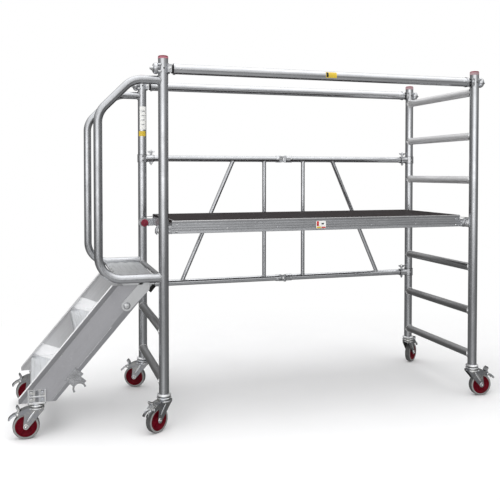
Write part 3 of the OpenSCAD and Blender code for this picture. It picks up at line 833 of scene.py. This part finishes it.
def brace_beads(side, tag, body):
    lean = math.atan2(STRUT_FOOT - STRUT_HEAD, BRACE_HIGH - BRACE_LOW)
    beads = Shells()
    for i, (z, reach, into) in enumerate(((BRACE_LOW, STRUT_FOOT, 1),
                                          (BRACE_HIGH, STRUT_HEAD, -1))):
        beads.saddle_bead(place(MIDDLE + side * 130, WIDTH, z), X, Z * into,
                          STRUT_RADIUS, BRACE_RADIUS, 1.9, phase=i * 2)
        beads.saddle_bead(place(MIDDLE + side * reach, WIDTH, z), X * (-side * into),
                          Z * into, STRUT_RADIUS, BRACE_RADIUS, 1.9, lean=lean, phase=i)
    beads.make("weld_beads_brace_" + tag, body, WELD, "cast_alloy", 70)


def brace_hinges(side, tag, body):
    clamps, screws = Shells(), Shells()
    start = 15  # clamp end, from the middle
    for z in (BRACE_LOW, BRACE_HIGH):
        clamps.revolve(place(MIDDLE + side * start, WIDTH, z), X * side, [
            (0, 17.9), (0, 20), (1.2, 20.6), (36.8, 20.6), (38, 20), (38, 17.9)])
        for reach in (9, 29):
            x = MIDDLE + side * (start + reach)
            screws.dome(place(x, WIDTH - 20.2, z), -Y, 4.8, 2.6, 18)
            screws.hexagon(place(x, WIDTH + 20.2, z), Y, 9, 4.5)
            screws.dome(place(x, WIDTH, z + 20.2), Z, 4.8, 3.0, 18)
    clamps.make("hinge_clamps_" + tag, body, CAST, "cast_alloy")
    screws.make("hinge_screws_" + tag, body, ZINC, "zinc")


def brace_ends(side, tag, body):
    """rubber ring, wing nut, screws and dark slits at each end sleeve"""
    seals, wings, trim = Shells(), Shells(), Shells()
    heights = (BRACE_LOW, BRACE_HIGH)
    upright_x = LENGTH if side > 0 else 0
    for z in heights:
        seals.revolve(place(upright_x - side * 66 - side * 3, WIDTH, z), X * side, [
            (0, 18.1), (0, 20.8), (1, 21.6), (2.4, 21.6), (3.1, 20.8), (3.1, 18.1)])
    seals.make("brace_seals_" + tag, body, DARK, "black_plastic")
    for z in heights:
        x = upright_x - side * 52
        for sign in (-1, 1):
            wings.plate([(a * sign, b) for a, b in WING], place(x, WIDTH - 2, z), 4)
        wings.revolve(place(x, WIDTH, z + 38), Z, [
            (0, 0.1), (0, 7.5), (2, 7.8), (9, 6.6), (9.5, 4), (13, 3.8), (13.5, 0.1)], 24)
        wings.revolve(place(x, WIDTH, z - 32), -Z, [
            (0, 0.1), (0, 4.6), (6, 4.6), (7, 3.8), (7, 0.1)], 24)
    bevel(wings.make("wing_nuts_" + tag, body, ZINC, "zinc", 35), 0.6)
    for z in heights:
        for dz in (-13, 13):
            trim.dome(place(upright_x, WIDTH - 28.2, z + dz), -Y, 4.5, 2.4)
        for sign in (-1, 1):
            trim.revolve(place(upright_x, WIDTH, z + sign * 22.0 - 1.0), Z, [
                (0, 25.2), (0, 29), (2, 29), (2, 25.2)], 48)
    trim.make("sleeve_trim_" + tag, body, DARK, "black_plastic")


for side, tag in ((1, "right"), (-1, "left")):
    for build in (brace_beads, brace_hinges, brace_ends):
        build(side, tag, "brace_half_" + tag)


# ---------------------------------------------------------------- guardrails
def guardrail_trim(tag, y):
    """dark seat behind each coupler collar, its screws and snap buttons"""
    seats, screws = Shells(), Shells()
    for end, inward in ((0.0, 1), (LENGTH, -1)):
        seats.revolve(place(end + inward * 40, y, RAIL_Z), X * inward, [
            (0, 13.5), (0, 20), (1.5, 21.5), (8.5, 21.5), (9.8, 20), (9.8, 13.5)])
        x = end + inward * 29
        for face in (-1, 1):
            screws.hexagon(place(x, y + face * 30, RAIL_Z), Y * face, 13, 5.5)
            screws.dome(place(x, y + face * 35.4, RAIL_Z), Y * face, 3.4, 2.6, 16)
        x = end + inward * 84
        screws.dome(place(x, y - 24.6, RAIL_Z), -Y, 4.6, 3.4)
        screws.dome(place(x, y + 24.6, RAIL_Z), Y, 4.6, 3.4)
        screws.dome(place(x, y, RAIL_Z + 24.6), Z, 4.0, 2.4)
    seats.make("rail_seats_" + tag, "rail_" + tag, DARK, "black_plastic")
    screws.make("rail_screws_" + tag, "rail_" + tag, ZINC, "zinc", 35)


def cap_skirts(tag, x, height, look):
    """ring under the red cap of each upright"""
    skirts = Shells()
    for y in (0.0, WIDTH):
        skirts.revolve(place(x, y, UPRIGHT_TOP), -Z, [
            (-1, 23.6), (-1, 25.2), (0, 25.6), (height - 1.2, 25.6), (height, 25.1),
            (height, 24.8)], 56)
    skirts.make("cap_skirts_" + tag, "frame_" + tag, look, "red_cap")


def rail_fixings(tag, x, outward):
    """nuts and pins at the rail height of the uprights, and plugs in their cross holes"""
    nuts, pins = Shells(), Shells()
    for y in (0.0, WIDTH):
        nuts.revolve(place(x + outward * 51, y, RAIL_Z), X * outward, [
            (0, 6), (0, 12), (1.2, 12.6), (3.4, 12.6), (4.6, 11.6), (4.6, 6)], 32)
        nuts.hexagon(place(x + outward * 55, y, RAIL_Z), X * outward, 16.5, 6.2)
        for face in (-1, 1):
            for dz in (17, -17):
                nuts.revolve(
                    place(x + outward * 16, y + face * 25.1, RAIL_Z + dz), X * outward,
                    [(0, 0.1), (0, 4.2), (12, 4.2), (13.2, 3), (13.2, 0.1)], 20)
    nuts.make("rail_nut_parts_" + tag, "frame_" + tag, ZINC, "zinc", 35)
    for y in (0.0, WIDTH):
        for face in (-1, 1):
            pins.revolve(place(x, y + face * 21.0, RAIL_Z), Y * face, [
                (0, 0.1), (0, 3.9), (3, 3.9), (3, 0.1)], 24)
        pins.dome(place(x + 15.5, y - 19.9, RAIL_Z - 2), (0.62, -0.79, 0), 3.0, 1.0, 16)
    pins.make("upright_pins_" + tag, "frame_" + tag, DARK, "black_plastic")


guardrail_trim("front", 0.0)
guardrail_trim("rear", WIDTH)
tube_label("rail_label", place(890, 0, RAIL_Z), X, facing=(0, -1, 0.15), length=62, arc=74,
           body="rail_front", look=YELLOW)
tube_label("rail_label_end_a", place(868, 0, RAIL_Z), X, facing=(0, -1, 0.15), length=12,
           arc=60, body="rail_front", look=DARK, lift=0.6)
cap_skirts("left", 0.0, 7, SKIRT_LEFT)
cap_skirts("right", LENGTH, 13, SKIRT_RIGHT_SHEEN)
rail_fixings("left", 0.0, -1)
rail_fixings("right", LENGTH, 1)

# ---------------------------------------------------------------- deck
low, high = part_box("deck_rails")
RAIL_FRONT, RAIL_REAR = (low.y - ORIGIN_Y) * 1000, (high.y - ORIGIN_Y) * 1000
RAIL_BOTTOM = low.z * 1000
BOARD_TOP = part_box("deck_board")[1].z * 1000
CLAW_FRONT = (WIDTH - DECK_WIDTH) / 2
CLAW_REAR = WIDTH - CLAW_FRONT
DECK_ENDS = ((0.0, 1), (LENGTH, -1))  # x, inward sign
# x, z of the spring plate's outline, from the rung's axis
LATCH = [(6, 32.2), (22, 33), (46, 34.5), (52, 37.5), (52, 39.5), (44, 37), (22, 35.5),
         (2, 34.4), (-10, 33.6), (-12, 31.0), (-6, 30.9)]


def deck_rivets():
    rivets, feet = Shells(), Shells()
    for y, face in ((RAIL_FRONT + 2.2, -1), (RAIL_REAR - 2.2, 1)):
        for x in (78, LENGTH - 78):
            rivets.dome(place(x, y, RAIL_BOTTOM + 9.5), Y * face, 5.0, 2.6)
            rivets.dome(place(x, y, RAIL_BOTTOM + 44), Y * face, 4.0, 2.0, 18)
        for i in range(1, 6):
            x = 52 + i * (LENGTH - 130) / 6 + 15
            rivets.dome(place(x, y, RAIL_BOTTOM + 21), Y * face, 3.0, 1.2, 16)
    rivets.make("deck_rivets", "deck", ZINC, "zinc")
    for y, face in ((RAIL_FRONT + 2.4, -1), (RAIL_REAR - 2.4, 1)):
        for x in (74, LENGTH - 74):
            feet.revolve(place(x, y, RAIL_BOTTOM + 5), Y * face, [
                (0, 0.1), (0, 5.2), (1.6, 5.2), (2.2, 4), (2.2, 0.1)], 20)
    feet.make("deck_feet", "deck", DARK, "black_plastic")


def board_screws():
    """a row across each end of the board, every fifth one larger"""
    screws = Shells()
    count, inset = 26, 66
    for x in (61, LENGTH - 61):
        for i in range(count):
            y = inset + i * (WIDTH - 2 * inset) / (count - 1)
            screws.dome(place(x, y, BOARD_TOP), Z, 2.6 if i % 5 else 4.2, 0.8, 12)
    screws.make("deck_board_screws", "deck", ZINC, "zinc")


def claw_arc(ribs, center, face, radius, thick):
    """a round rib that arches over the claw's face"""
    start, end = math.radians(-14), math.radians(194)
    rings = []
    for i in range(41):
        turn = start + (end - start) * i / 40
        out = Vector((math.cos(turn), 0, math.sin(turn)))
        rings.append([
            center + out * ((radius + thick * math.cos(q)) * MM)
            + Y * (face * thick * math.sin(q) * MM) for q in angles(8)])
    ribs.loft(rings)


def claw_trim():
    ribs, latches = Shells(), Shells()
    for x, inward in DECK_ENDS:
        for y, face in ((CLAW_FRONT + 0.5, -1), (CLAW_REAR - 0.5, 1)):
            for radius, thick in ((29.0, 1.6), (24.5, 1.1)):
                claw_arc(ribs, place(x, y, DECK_RUNG_Z), face, radius, thick)
            screw_x = x + inward * 41
            ribs.dome(place(screw_x, y, DECK_RUNG_Z + 10), Y * face, 5.0, 3.0)
            ribs.hexagon(place(screw_x, y, DECK_RUNG_Z - 8), Y * face, 10, 4.2)
    ribs.make("claw_ribs", "deck", CAST, "cast_alloy")
    # bent spring plate over each claw
    for x, inward in DECK_ENDS:
        for y in (CLAW_FRONT + 9, CLAW_REAR - 17):
            latches.plate([(a * inward, b) for a, b in LATCH], place(x, y, DECK_RUNG_Z), 8)
    bevel(latches.make("claw_latches", "deck", DARK, "black_plastic"), 0.5)


def deck_sticker(name, left, right, bottom, top, lift, look):
    """a rounded film in front of the front deck rail; heights from the rail's bottom"""
    bottom, top = RAIL_BOTTOM + bottom, RAIL_BOTTOM + top
    corner = min(right - left, top - bottom) * 0.12
    outline = []
    for x, z, start in ((right - corner, bottom + corner, -90), (right - corner, top - corner, 0),
                        (left + corner, top - corner, 90), (left + corner, bottom + corner, 180)):
        for i in range(5):
            turn = math.radians(start + 22.5 * i)
            outline.append((x + corner * math.cos(turn), z + corner * math.sin(turn)))
    film = Shells()
    film.plate(outline, place(0, RAIL_FRONT - 0.9 - lift, 0), 0.6)
    film.make(name, "deck", look, "board")


deck_rivets()
board_screws()
claw_trim()
# left, right, bottom, top, lift
deck_sticker("deck_label", 836, 894, 9, 50, 0, WHITE)
deck_sticker("deck_label_red", 840, 853, 22, 48, 0.3, RED)
deck_sticker("deck_label_yellow", 840, 866, 10.5, 19, 0.3, YELLOW)
deck_sticker("deck_label_red_b", 868, 892, 10.5, 18, 0.3, RED)
deck_sticker("deck_label_dark", 868, 882, 30, 38, 0.3, DARK)

# ---------------------------------------------------------------- labels, rear left upright
tube_label("upright_label", place(0, WIDTH, 1600), Z, facing=(0.05, -1, 0), length=135,
           arc=88, body="frame_left", look=WHITE)
tube_label("upright_label_low", place(0, WIDTH, 1508), Z, facing=(-0.15, -1, 0), length=30,
           arc=100, body="frame_left", look=YELLOW)
for i in range(4):
    tube_label("upright_label_bar_%d" % i, place(0, WIDTH, 1640 - 26 * i), Z,
               facing=(0.05, -1, 0), length=6, arc=46 - 7 * (i % 2), body="frame_left",
               look=CROSSBAR, lift=0.7)


# ---------------------------------------------------------------- stair
def tread_ribs(tag, left, top):
    """low ribs across the tread"""
    ribs = Shells()
    for dx, height in ((17.5, 1.3), (48, 1.3), (80, 0.9), (112, 0.9)):
        section = [(-1.8, -0.3), (-1, height * 0.7), (0, height), (1, height * 0.7),
                   (1.8, -0.3)]
        ribs.loft([[place(left + dx + a, y, top + b) for a, b in section]
                   for y, _ in sides(100)])
    ribs.make("tread_ribs_" + tag, "stair", TREAD_RIB, "tread_plate", 30)


def tread_ends(tag, left, top):
    """rivets in the upturned ends and a gusset on each end of the tread, its near-white colour a
    painted highlight
    """
    rivets, gussets = Shells(), Shells()
    for y, inward in sides(69.4):
        for dx in (72, 128):
            rivets.dome(place(left + dx, y, top + 14), Y * inward, 3.0, 1.0, 16)
        gussets.plate([(38, 0), (148, 0), (148, 168), (120, 112)],
                      place(left, y - inward * 0.6, top + 0.4), 1.6, up=Y * inward, out=Z)
    rivets.make("tread_rivets_" + tag, "stair", PALE_ZINC, "zinc")
    gussets.make("tread_gussets_" + tag, "stair", GUSSET_HIGHLIGHT, "tread_plate", 30)


def bracket_covers(tag, y, inward):
    """pressed cover on a caster bracket, with darker washer plates"""
    returns, washers = Shells(), Shells()
    for x in (-648, -569.5):
        returns.plate([(0, 0), (5.5, 0), (5.5, 68), (3, 68), (0, 64)],
                      place(x, y - inward * 4.2, 169), inward * 4.5)
    returns.plate([(0, 0), (84, 0), (84, 5.5), (0, 5.5)],
                  place(-648, y - inward * 4.2, 169), inward * 4.5)
    returns.plate([(0, 0), (73, 0), (73, 4), (0, 4)],
                  place(-642.5, y - inward * 2.4, 202), inward * 2.6)
    bevel(returns.make("bracket_returns_" + tag, "stair", PALE_ZINC, "zinc", 35), 0.6)
    width, cut = 15.5, 2  # washer width and corner cut
    for x in (-641, -615.5, -590):
        for z, height in ((176, 24), (207.5, 26)):
            washers.plate([
                (cut, 0), (width - cut, 0), (width, cut), (width, height - cut),
                (width - cut, height), (cut, height), (0, height - cut), (0, cut),
            ], place(x + 2, y - inward * 0.9, z), inward * 1.2)
    washers.make("bracket_washers_" + tag, "stair", DULL_STEEL, "zinc", 35)


def stringer_trim():
    """stitched seam where the folded edge meets the web, and beads along the top edge of each
    sheet, whose pale colour is a painted highlight
    """
    seams, edges = Shells(), Shells()
    for y, inward in sides(60.0):
        for i in range(6):
            start = 60 + i * 104
            seams.line_bead(on_slope(start, y + inward * 1.8, below=24.5),
                            on_slope(start + 30, y + inward * 1.8, below=24.5), 1.1, phase=i)
    seams.make("stringer_seams", "stair", WELD, "cast_alloy", 70)
    # painted highlight: pale beads along the top edge of both faces, thickest on the front
    # stringer's front face
    start, end = 5, 690
    for inset, into in ((60.0, 1), (82.0, -1)):
        for y, inward in sides(inset):
            points = [
                on_slope(start + (end - start) * i / 24, y + into * inward * 0.9, below=0.3)
                for i in range(25)]
            edges.tube(points, 1.7 if y < 65 else 1.1, 12)
    edges.make("stringer_edge_highlights", "stair", NOSING, "sheet", 60)


def landing_gussets():
    gussets = Shells()
    for y, inward in sides(54.0):
        gussets.plate([(-206, 743), (-206, 734), (-192, 719), (-98, 719), (-92, 728),
                       (-92, 743)], place(0, y, 0), inward * 5)
        for x in (-180, -118):
            gussets.dome(place(x, y, 731), Y * -inward, 4.0, 2.0, 18)
    bevel(gussets.make("landing_gussets", "frame_left", STRAP, "sheet", 35), 0.6)


for tread in TREADS:
    tread_ribs(*tread)
    tread_ends(*tread)
for tag, (y, inward) in zip(("front", "rear"), sides(56.0)):
    bracket_covers(tag, y, inward)
stringer_trim()
landing_gussets()

# ---------------------------------------------------------------- casters
WHEEL_RADIUS, WHEEL_TRAIL = 62.5, 50
LEG_FACE = 23.0  # outer face of a fork leg, from the wheel's middle plane


def mirrored(half):
    return [(-s, r) for s, r in reversed(half)]


# half profiles: distance from the wheel's middle plane, radius
TYRE_HALF = [(-15, 51), (-15.8, 54.5), (-16, 57), (-15.7, 59.2), (-14.5, 61), (-12.2, 62.1),
             (-9, 62.45), (-6.2, 62.5), (-5.6, 61.7), (-5, 62.5)]
TYRE_PROFILE = TYRE_HALF + [(0, WHEEL_RADIUS)] + mirrored(TYRE_HALF)
CORE_HALF = [(-19, 6.2), (-19, 12), (-18.2, 13.6), (-15, 14.6), (-11, 17), (-8.8, 20),
             (-8, 25), (-7.8, 33), (-9, 39), (-11.8, 43.2), (-14.6, 44.8), (-15.2, 46.2),
             (-15, 49.2), (-14, 50.9)]
CORE_PROFILE = CORE_HALF + mirrored(CORE_HALF)
WALL_PROFILE = [(14.6, 51.1), (16, 51.3), (16.5, 53), (16.6, 56), (16.3, 58.6),
                (15.4, 60.2), (14.6, 60)]
SEAL_PROFILE = [(18.2, 6.6), (19.3, 6.8), (19.6, 7.8), (19.6, 10.8), (19.3, 11.8),
                (18.2, 11.9)]
# swivel races: height, radius
UPPER_RACE = [(158.5, 33.5), (158.5, 35.2), (159.8, 36.1), (162, 36.2), (163.4, 35),
              (164, 30), (163, 29)]
LOWER_RACE = [(144, 33), (143, 34.4), (144, 35.2), (147.5, 35.4), (149, 34.4), (149, 33)]
# pedal tip section: distance out from the swivel axis, height
TIP_SECTION = [(118, 106.5), (124, 112.5), (129.5, 106), (133.2, 99.5), (126.5, 93.8),
               (121, 100.6)]


class Caster:
    """one caster's frame: x out towards the wheel, y along the axle, z up"""

    def __init__(self, key, head_x, head_y, degrees):
        turn = math.radians(degrees)
        self.key = key
        self.head = place(head_x, head_y, 0)
        self.out = Vector((math.cos(turn), math.sin(turn), 0))
        self.axle = Vector((-math.sin(turn), math.cos(turn), 0))
        self.hub = self.at(WHEEL_TRAIL, 0, WHEEL_RADIUS)

    def at(self, x, y, z):
        return self.head + self.out * (x * MM) + self.axle * (y * MM) + Z * (z * MM)


def core_rib(core, caster, sign, turn):
    """a shallow rib from hub to rim on one face of the wheel core"""
    out = caster.out * math.cos(turn) + Z * math.sin(turn)
    side = caster.out * -math.sin(turn) + Z * math.cos(turn)
    base = 7.0
    rings = []
    for radius, half, depth in ((15, 3.0, 14.2), (42, 2.2, 11.2)):
        section = [(-half, base), (-half, depth - 1), (-half * 0.6, depth),
                   (half * 0.6, depth), (half, depth - 1), (half, base)]
        rings.append([caster.hub + out * (radius * MM) + side * (a * MM)
                      + caster.axle * (sign * b * MM) for a, b in section])
    core.loft(rings)


def caster_wheel(caster):
    key, hub, axle = caster.key, caster.hub, caster.axle
    body = "wheel_" + key
    tyre, walls, core, seals = Shells(), Shells(), Shells(), Shells()
    tyre.revolve(hub, axle, TYRE_PROFILE, 112)
    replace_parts(tyre.make("tyre_ring_" + key, body, TYRE, "tyre"), "tyre_" + key)
    for sign in (-1, 1):
        walls.revolve(hub, axle * sign, WALL_PROFILE, 112)
    walls.make("tyre_wall_" + key, body, TYRE_WALL, "tyre")
    core.revolve(hub, axle, CORE_PROFILE, 112)
    for sign in (-1, 1):
        for turn in angles(5):
            core_rib(core, caster, sign, turn + 0.3)
    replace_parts(core.make("wheel_core_" + key, body, WHEEL_CORE, "wheel_core", 35),
                "core_" + key)
    for sign in (-1, 1):
        seals.revolve(hub, axle * sign, SEAL_PROFILE, 36)
    seals.make("wheel_seal_" + key, body, DARK, "black_plastic")


def leg_rib(trim, caster, sign):
    """an embossed half-round rib down a fork leg"""
    start, end = Vector((8, 0, 136)), Vector((44, 0, 86))
    ahead = (end - start).normalized()
    side = Vector((-ahead.z, 0, ahead.x))
    steps, arc_steps = 26, 10
    rings = []
    for i in range(steps + 1):
        t = i / steps
        swell = math.sin(math.pi * t) ** 0.35 if 0 < t < 1 else 0.05
        middle = start.lerp(end, t)
        rings.append([])
        for j in range(arc_steps + 1):
            turn = math.pi * j / arc_steps
            point = middle + side * (math.cos(turn) * 5.5 * max(swell, 0.08))
            y = sign * LEG_FACE - sign * 0.4 + sign * math.sin(turn) * 2.3 * swell
            rings[-1].append(caster.at(point.x, y, point.z))
    trim.loft(rings)


def fork_trim(caster):
    """swivel races, leg ribs, rivets and axle ends"""
    trim = Shells()
    trim.revolve(caster.head, Z, UPPER_RACE, 64)
    trim.revolve(caster.head, Z, LOWER_RACE, 64)
    for sign in (-1, 1):
        leg_rib(trim, caster, sign)
        face, outward = sign * LEG_FACE, caster.axle * sign
        trim.dome(caster.at(-12, face, 140), outward, 4.2, 2.2, 18)
        trim.dome(caster.at(30, face, 146), outward, 3.4, 1.8, 18)
        trim.dome(caster.at(WHEEL_TRAIL, sign * 29.0, WHEEL_RADIUS), outward, 5.2, 2.6)
        trim.revolve(caster.at(WHEEL_TRAIL, face, WHEEL_RADIUS), outward, [
            (0, 6.2), (0, 12.4), (1.4, 12.8), (2.2, 12.2), (2.2, 6.2)], 36)
        trim.dome(caster.at(88, sign * 22.8, 123), outward, 5.6, 2.6)
    trim.make("fork_trim_" + caster.key, "fork_" + caster.key + "_body", ZINC, "zinc", 35)


def king_pin_nut(caster):
    """stays with what the caster hangs on, so it does not swivel"""
    key = caster.key
    carrier = "stair" if key[0] == "s" else ("frame_left" if key[1] == "l" else "frame_right")
    nut = Shells()
    nut.hexagon(caster.at(0, 0, 139.2), -Z, 20, 6)
    nut.revolve(caster.at(0, 0, 133.4), -Z, [
        (0, 0.1), (0, 5.2), (5, 5.2), (6, 4.2), (6, 0.1)], 24)
    nut.make("king_pin_nut_" + key, carrier, ZINC, "zinc", 35)


def pedal_trim(caster):
    """dark pads on the two pedal tips and a rolled lip, both near-black as painted shade"""
    key, body = caster.key, "pedal_" + caster.key
    pads, lip = Shells(), Shells()
    count = len(TIP_SECTION)
    for ends in ((-16.8, -7.6), (7.6, 16.8)):
        verts = [caster.at(x, y, z) for y in ends for x, z in TIP_SECTION]
        faces = [tuple(range(count)), tuple(range(count, 2 * count))]
        for i in range(count):
            j = (i + 1) % count
            faces.append((i, j, count + j, count + i))
        pads.add(verts, faces)
    bevel(pads.make("pedal_tip_shade_" + key, body, PEDAL_SHADE, "zinc", 30), 1.2, segments=3)
    lip.revolve(caster.at(92.6, -15, 159.4), caster.axle, [
        (0, 0.1), (0, 2.2), (1, 3.2), (29, 3.2), (30, 2.2), (30, 0.1)], 20)
    lip.make("pedal_lip_" + key, body, PEDAL_SHADE, "zinc")


for key, head in CASTERS.items():
    caster = Caster(key, *head)
    caster_wheel(caster)
    fork_trim(caster)
    king_pin_nut(caster)
    pedal_trim(caster)

# ---------------------------------------------------------------- rings and small nuts
# height, radius of the pale flange ring on the foot of each upright
FOOT_RING = [(169, 30.2), (169, 31.8), (171.2, 34.6), (173.5, 35.2), (176.2, 35),
             (178.2, 33.2), (180, 26.8), (180, 25.2), (177, 25)]


def foot_rings(tag, x):
    rings = Shells()
    for y in (0.0, WIDTH):
        rings.revolve(place(x, y, 0), Z, FOOT_RING, 64)
    rings.make("foot_rings_" + tag, "frame_" + tag, PALE_ZINC, "zinc")


def stair_bolt_nuts():
    """nuts and bolt ends on the inner side of the caster brackets"""
    nuts = Shells()
    for y, inward in sides(66.0):
        for dx in (-26, 26):
            for z in (188, 220):
                x = STAIR_HEAD_X + dx
                nuts.hexagon(place(x, y + inward * 0.1, z), Y * inward, 11, 4.5)
                nuts.revolve(place(x, y + inward * 4.4, z), Y * inward, [
                    (0, 0.1), (0, 3), (3.5, 3), (4.2, 2.2), (4.2, 0.1)], 16)
    nuts.make("stair_bolt_nuts", "stair", ZINC, "zinc", 35)


def pivot_rings():
    """ring round each pivot bolt head"""
    rings = Shells()
    for y, inward in sides(54.0):
        rings.revolve(place(-175, y, 617), Y * -inward, [
            (-0.4, 15), (0.4, 17.2), (1, 17.6), (1.6, 17.2), (2, 15)], 48)
    rings.make("pivot_rings", "frame_left", DULL_STEEL, "zinc")


foot_rings("left", 0.0)
foot_rings("right", LENGTH)
stair_bolt_nuts()
pivot_rings()

# ---------------------------------------------------------------- stage, in metres
FORWARD = Vector((0.2888, 0.9574, 0.0)).normalized()  # level view direction
RIGHT = Vector((FORWARD.y, -FORWARD.x, 0.0))


def floor_material():
    """pale matt floor that runs out into the white backdrop"""
    shader = Shader("floor_pale")
    base = (0.88, 0.88, 0.885)
    cloud = shader.noise(shader.coords(), scale=2.0, detail=3)
    shader.set("Base Color", shader.mix(shader.remap(cloud, span=(0.4, 0.6)),
                                        base, shade(base, 0.985)))
    shader.set("Roughness", 0.9)
    shader.set("Specular IOR Level", 0.0)
    glow = shader.node("Emission", {"Color": (1, 1, 1), "Strength": 1.0})
    # distance from the middle, squeezed so the fade is an ellipse longer in x
    squeezed = shader.node("VectorMath", {
        0: shader.node("TexCoord").outputs["Object"], 1: (0.72, 1.0, 0.0),
    }, operation="MULTIPLY")
    distance = shader.node("VectorMath", {0: squeezed.outputs[0]}, operation="LENGTH")
    fade = shader.remap(distance.outputs["Value"], span=(0.9, 2.6),
                        interpolation_type="SMOOTHSTEP")
    shader.feed(shader.output.inputs[0],
                shader.mix_shader(fade, shader.surface.outputs[0], glow.outputs[0]))
    return shader.material


def build_floor():
    bm = bmesh.new()
    bmesh.ops.create_grid(bm, x_segments=4, y_segments=4, size=14)
    mesh = bpy.data.meshes.new("floor")
    bm.to_mesh(mesh)
    bm.free()
    floor = bpy.data.objects.new("floor", mesh)
    scene.collection.objects.link(floor)
    mesh.materials.append(floor_material())
    floor.visible_glossy = False


# studio brightness: (cosine to a direction, or height, from -1 to 1; brightness)
LOBE = [(-1, 0), (0.0, 0.02), (0.25, 0.05), (0.5, 0.13), (0.68, 0.30), (0.84, 0.82),
        (0.93, 1.42), (1.0, 1.68)]
LOBE_BY_HEIGHT = [
    (-1, 0.30), (-0.31, 0.36), (-0.26, 0.17), (-0.21, 0.11), (-0.17, 0.10), (-0.12, 0.14),
    (-0.10, 0.26), (-0.077, 0.46), (-0.054, 0.72), (-0.033, 0.90), (-0.01, 1.18),
    (0.026, 1.24), (0.06, 0.92), (0.10, 0.78), (0.139, 0.60), (0.3, 0.34), (1.0, 0.3)]
BEHIND_CAMERA = [(-1, 0.55), (-0.6, 0.36), (-0.3, 0.18), (0.05, 0.21), (0.20, 0.46),
                 (0.40, 0.86), (0.7, 1.2), (0.9, 1.55), (1.0, 1.8)]
BEYOND_OBJECT = [(-1, 0.13), (-0.3, 0.15), (-0.1, 0.16), (0.06, 0.17), (0.25, 0.24),
                 (0.5, 0.45), (0.7, 1.25), (0.85, 1.9), (1.0, 1.9)]


def build_world():
    """white to the camera, even white for diffuse light, a graded studio in reflections"""
    world = bpy.data.worlds.new("studio")
    scene.world = world
    world.use_nodes = True
    nodes = Nodes(world.node_tree)
    output = nodes.node("OutputWorld")
    rays = nodes.node("LightPath").outputs
    direction = nodes.node("TexCoord").outputs["Generated"]

    def unit(value):
        return nodes.remap(value, span=(-1, 1))

    def half_ramp(value, stops):
        # ramps hold half the brightness, which the background's strength doubles
        return nodes.ramp(value, [((p + 1) / 2, level / 2) for p, level in stops])

    def background(colour, strength):
        return nodes.node("Background", {"Color": colour, "Strength": strength}).outputs[0]

    height = unit(nodes.part(direction, "Z"))
    ahead = unit(nodes.dot(direction, FORWARD))
    aside = math.radians(7)  # the lobe sits just left of straight behind the camera
    to_lobe = -FORWARD * math.cos(aside) - RIGHT * math.sin(aside)
    lobe = half_ramp(unit(nodes.dot(direction, to_lobe)), LOBE)
    lobe_height = half_ramp(height, LOBE_BY_HEIGHT)
    side_blend = nodes.ramp(ahead, [(0.0, 0.0), (0.35, 0.15), (0.65, 0.85), (1.0, 1.0)])
    base = nodes.mix(side_blend, half_ramp(height, BEHIND_CAMERA),
                     half_ramp(height, BEYOND_OBJECT))
    lobe = nodes.mix(1.0, lobe, lobe_height, "MULTIPLY")
    lobe = nodes.mix(1.0, lobe, (2.0, 2.0, 2.0), "MULTIPLY")
    studio = background(nodes.mix(1.0, base, lobe, "ADD"), strength=2.0)
    unseen = nodes.mix_shader(rays["Is Diffuse Ray"], studio,
                              background((1, 1, 1), strength=0.80))
    nodes.feed(output.inputs[0], nodes.mix_shader(
        rays["Is Camera Ray"], unseen, background((1, 1, 1), strength=1.0)))


def softbox(name, offset, width, height, power):
    """an area light aimed at the middle of the platform"""
    target = Vector((0, 0, 0.95))
    light = bpy.data.lights.new(name, "AREA")
    light.shape = "RECTANGLE"
    light.size, light.size_y = width, height
    light.energy = power
    obj = bpy.data.objects.new(name, light)
    scene.collection.objects.link(obj)
    location = target + offset
    obj.location = location
    obj.rotation_mode = "QUATERNION"
    obj.rotation_quaternion = (target - location).to_track_quat("-Z", "Y")
    obj.visible_camera = False
    obj.visible_glossy = False


def build_camera():
    lens = bpy.data.cameras.new("camera")
    camera = bpy.data.objects.new("camera", lens)
    scene.collection.objects.link(camera)
    camera.location = (-1.1857, -3.6537, 1.276)
    pitch = math.radians(-1.44)
    aim = Vector((FORWARD.x * math.cos(pitch), FORWARD.y * math.cos(pitch),
                  math.sin(pitch)))
    camera.rotation_mode = "QUATERNION"
    camera.rotation_quaternion = aim.to_track_quat("-Z", "Y")
    lens.sensor_width = 36
    lens.lens = 48.6
    lens.shift_x = 0.018
    lens.shift_y = -0.12
    lens.clip_start, lens.clip_end = 0.05, 60
    scene.camera = camera


build_floor()
build_world()
softbox("key_top", Vector((-0.4, -0.6, 3.6)), width=5.0, height=4.0, power=105)
softbox("front_left", -FORWARD * 4.0 - RIGHT * 1.6 + Vector((0, 0, 1.2)),
        width=3.0, height=2.4, power=55)
build_camera()
scene.view_settings.view_transform = "Standard"
scene.view_settings.look = "None"
scene.view_settings.exposure = 0.0
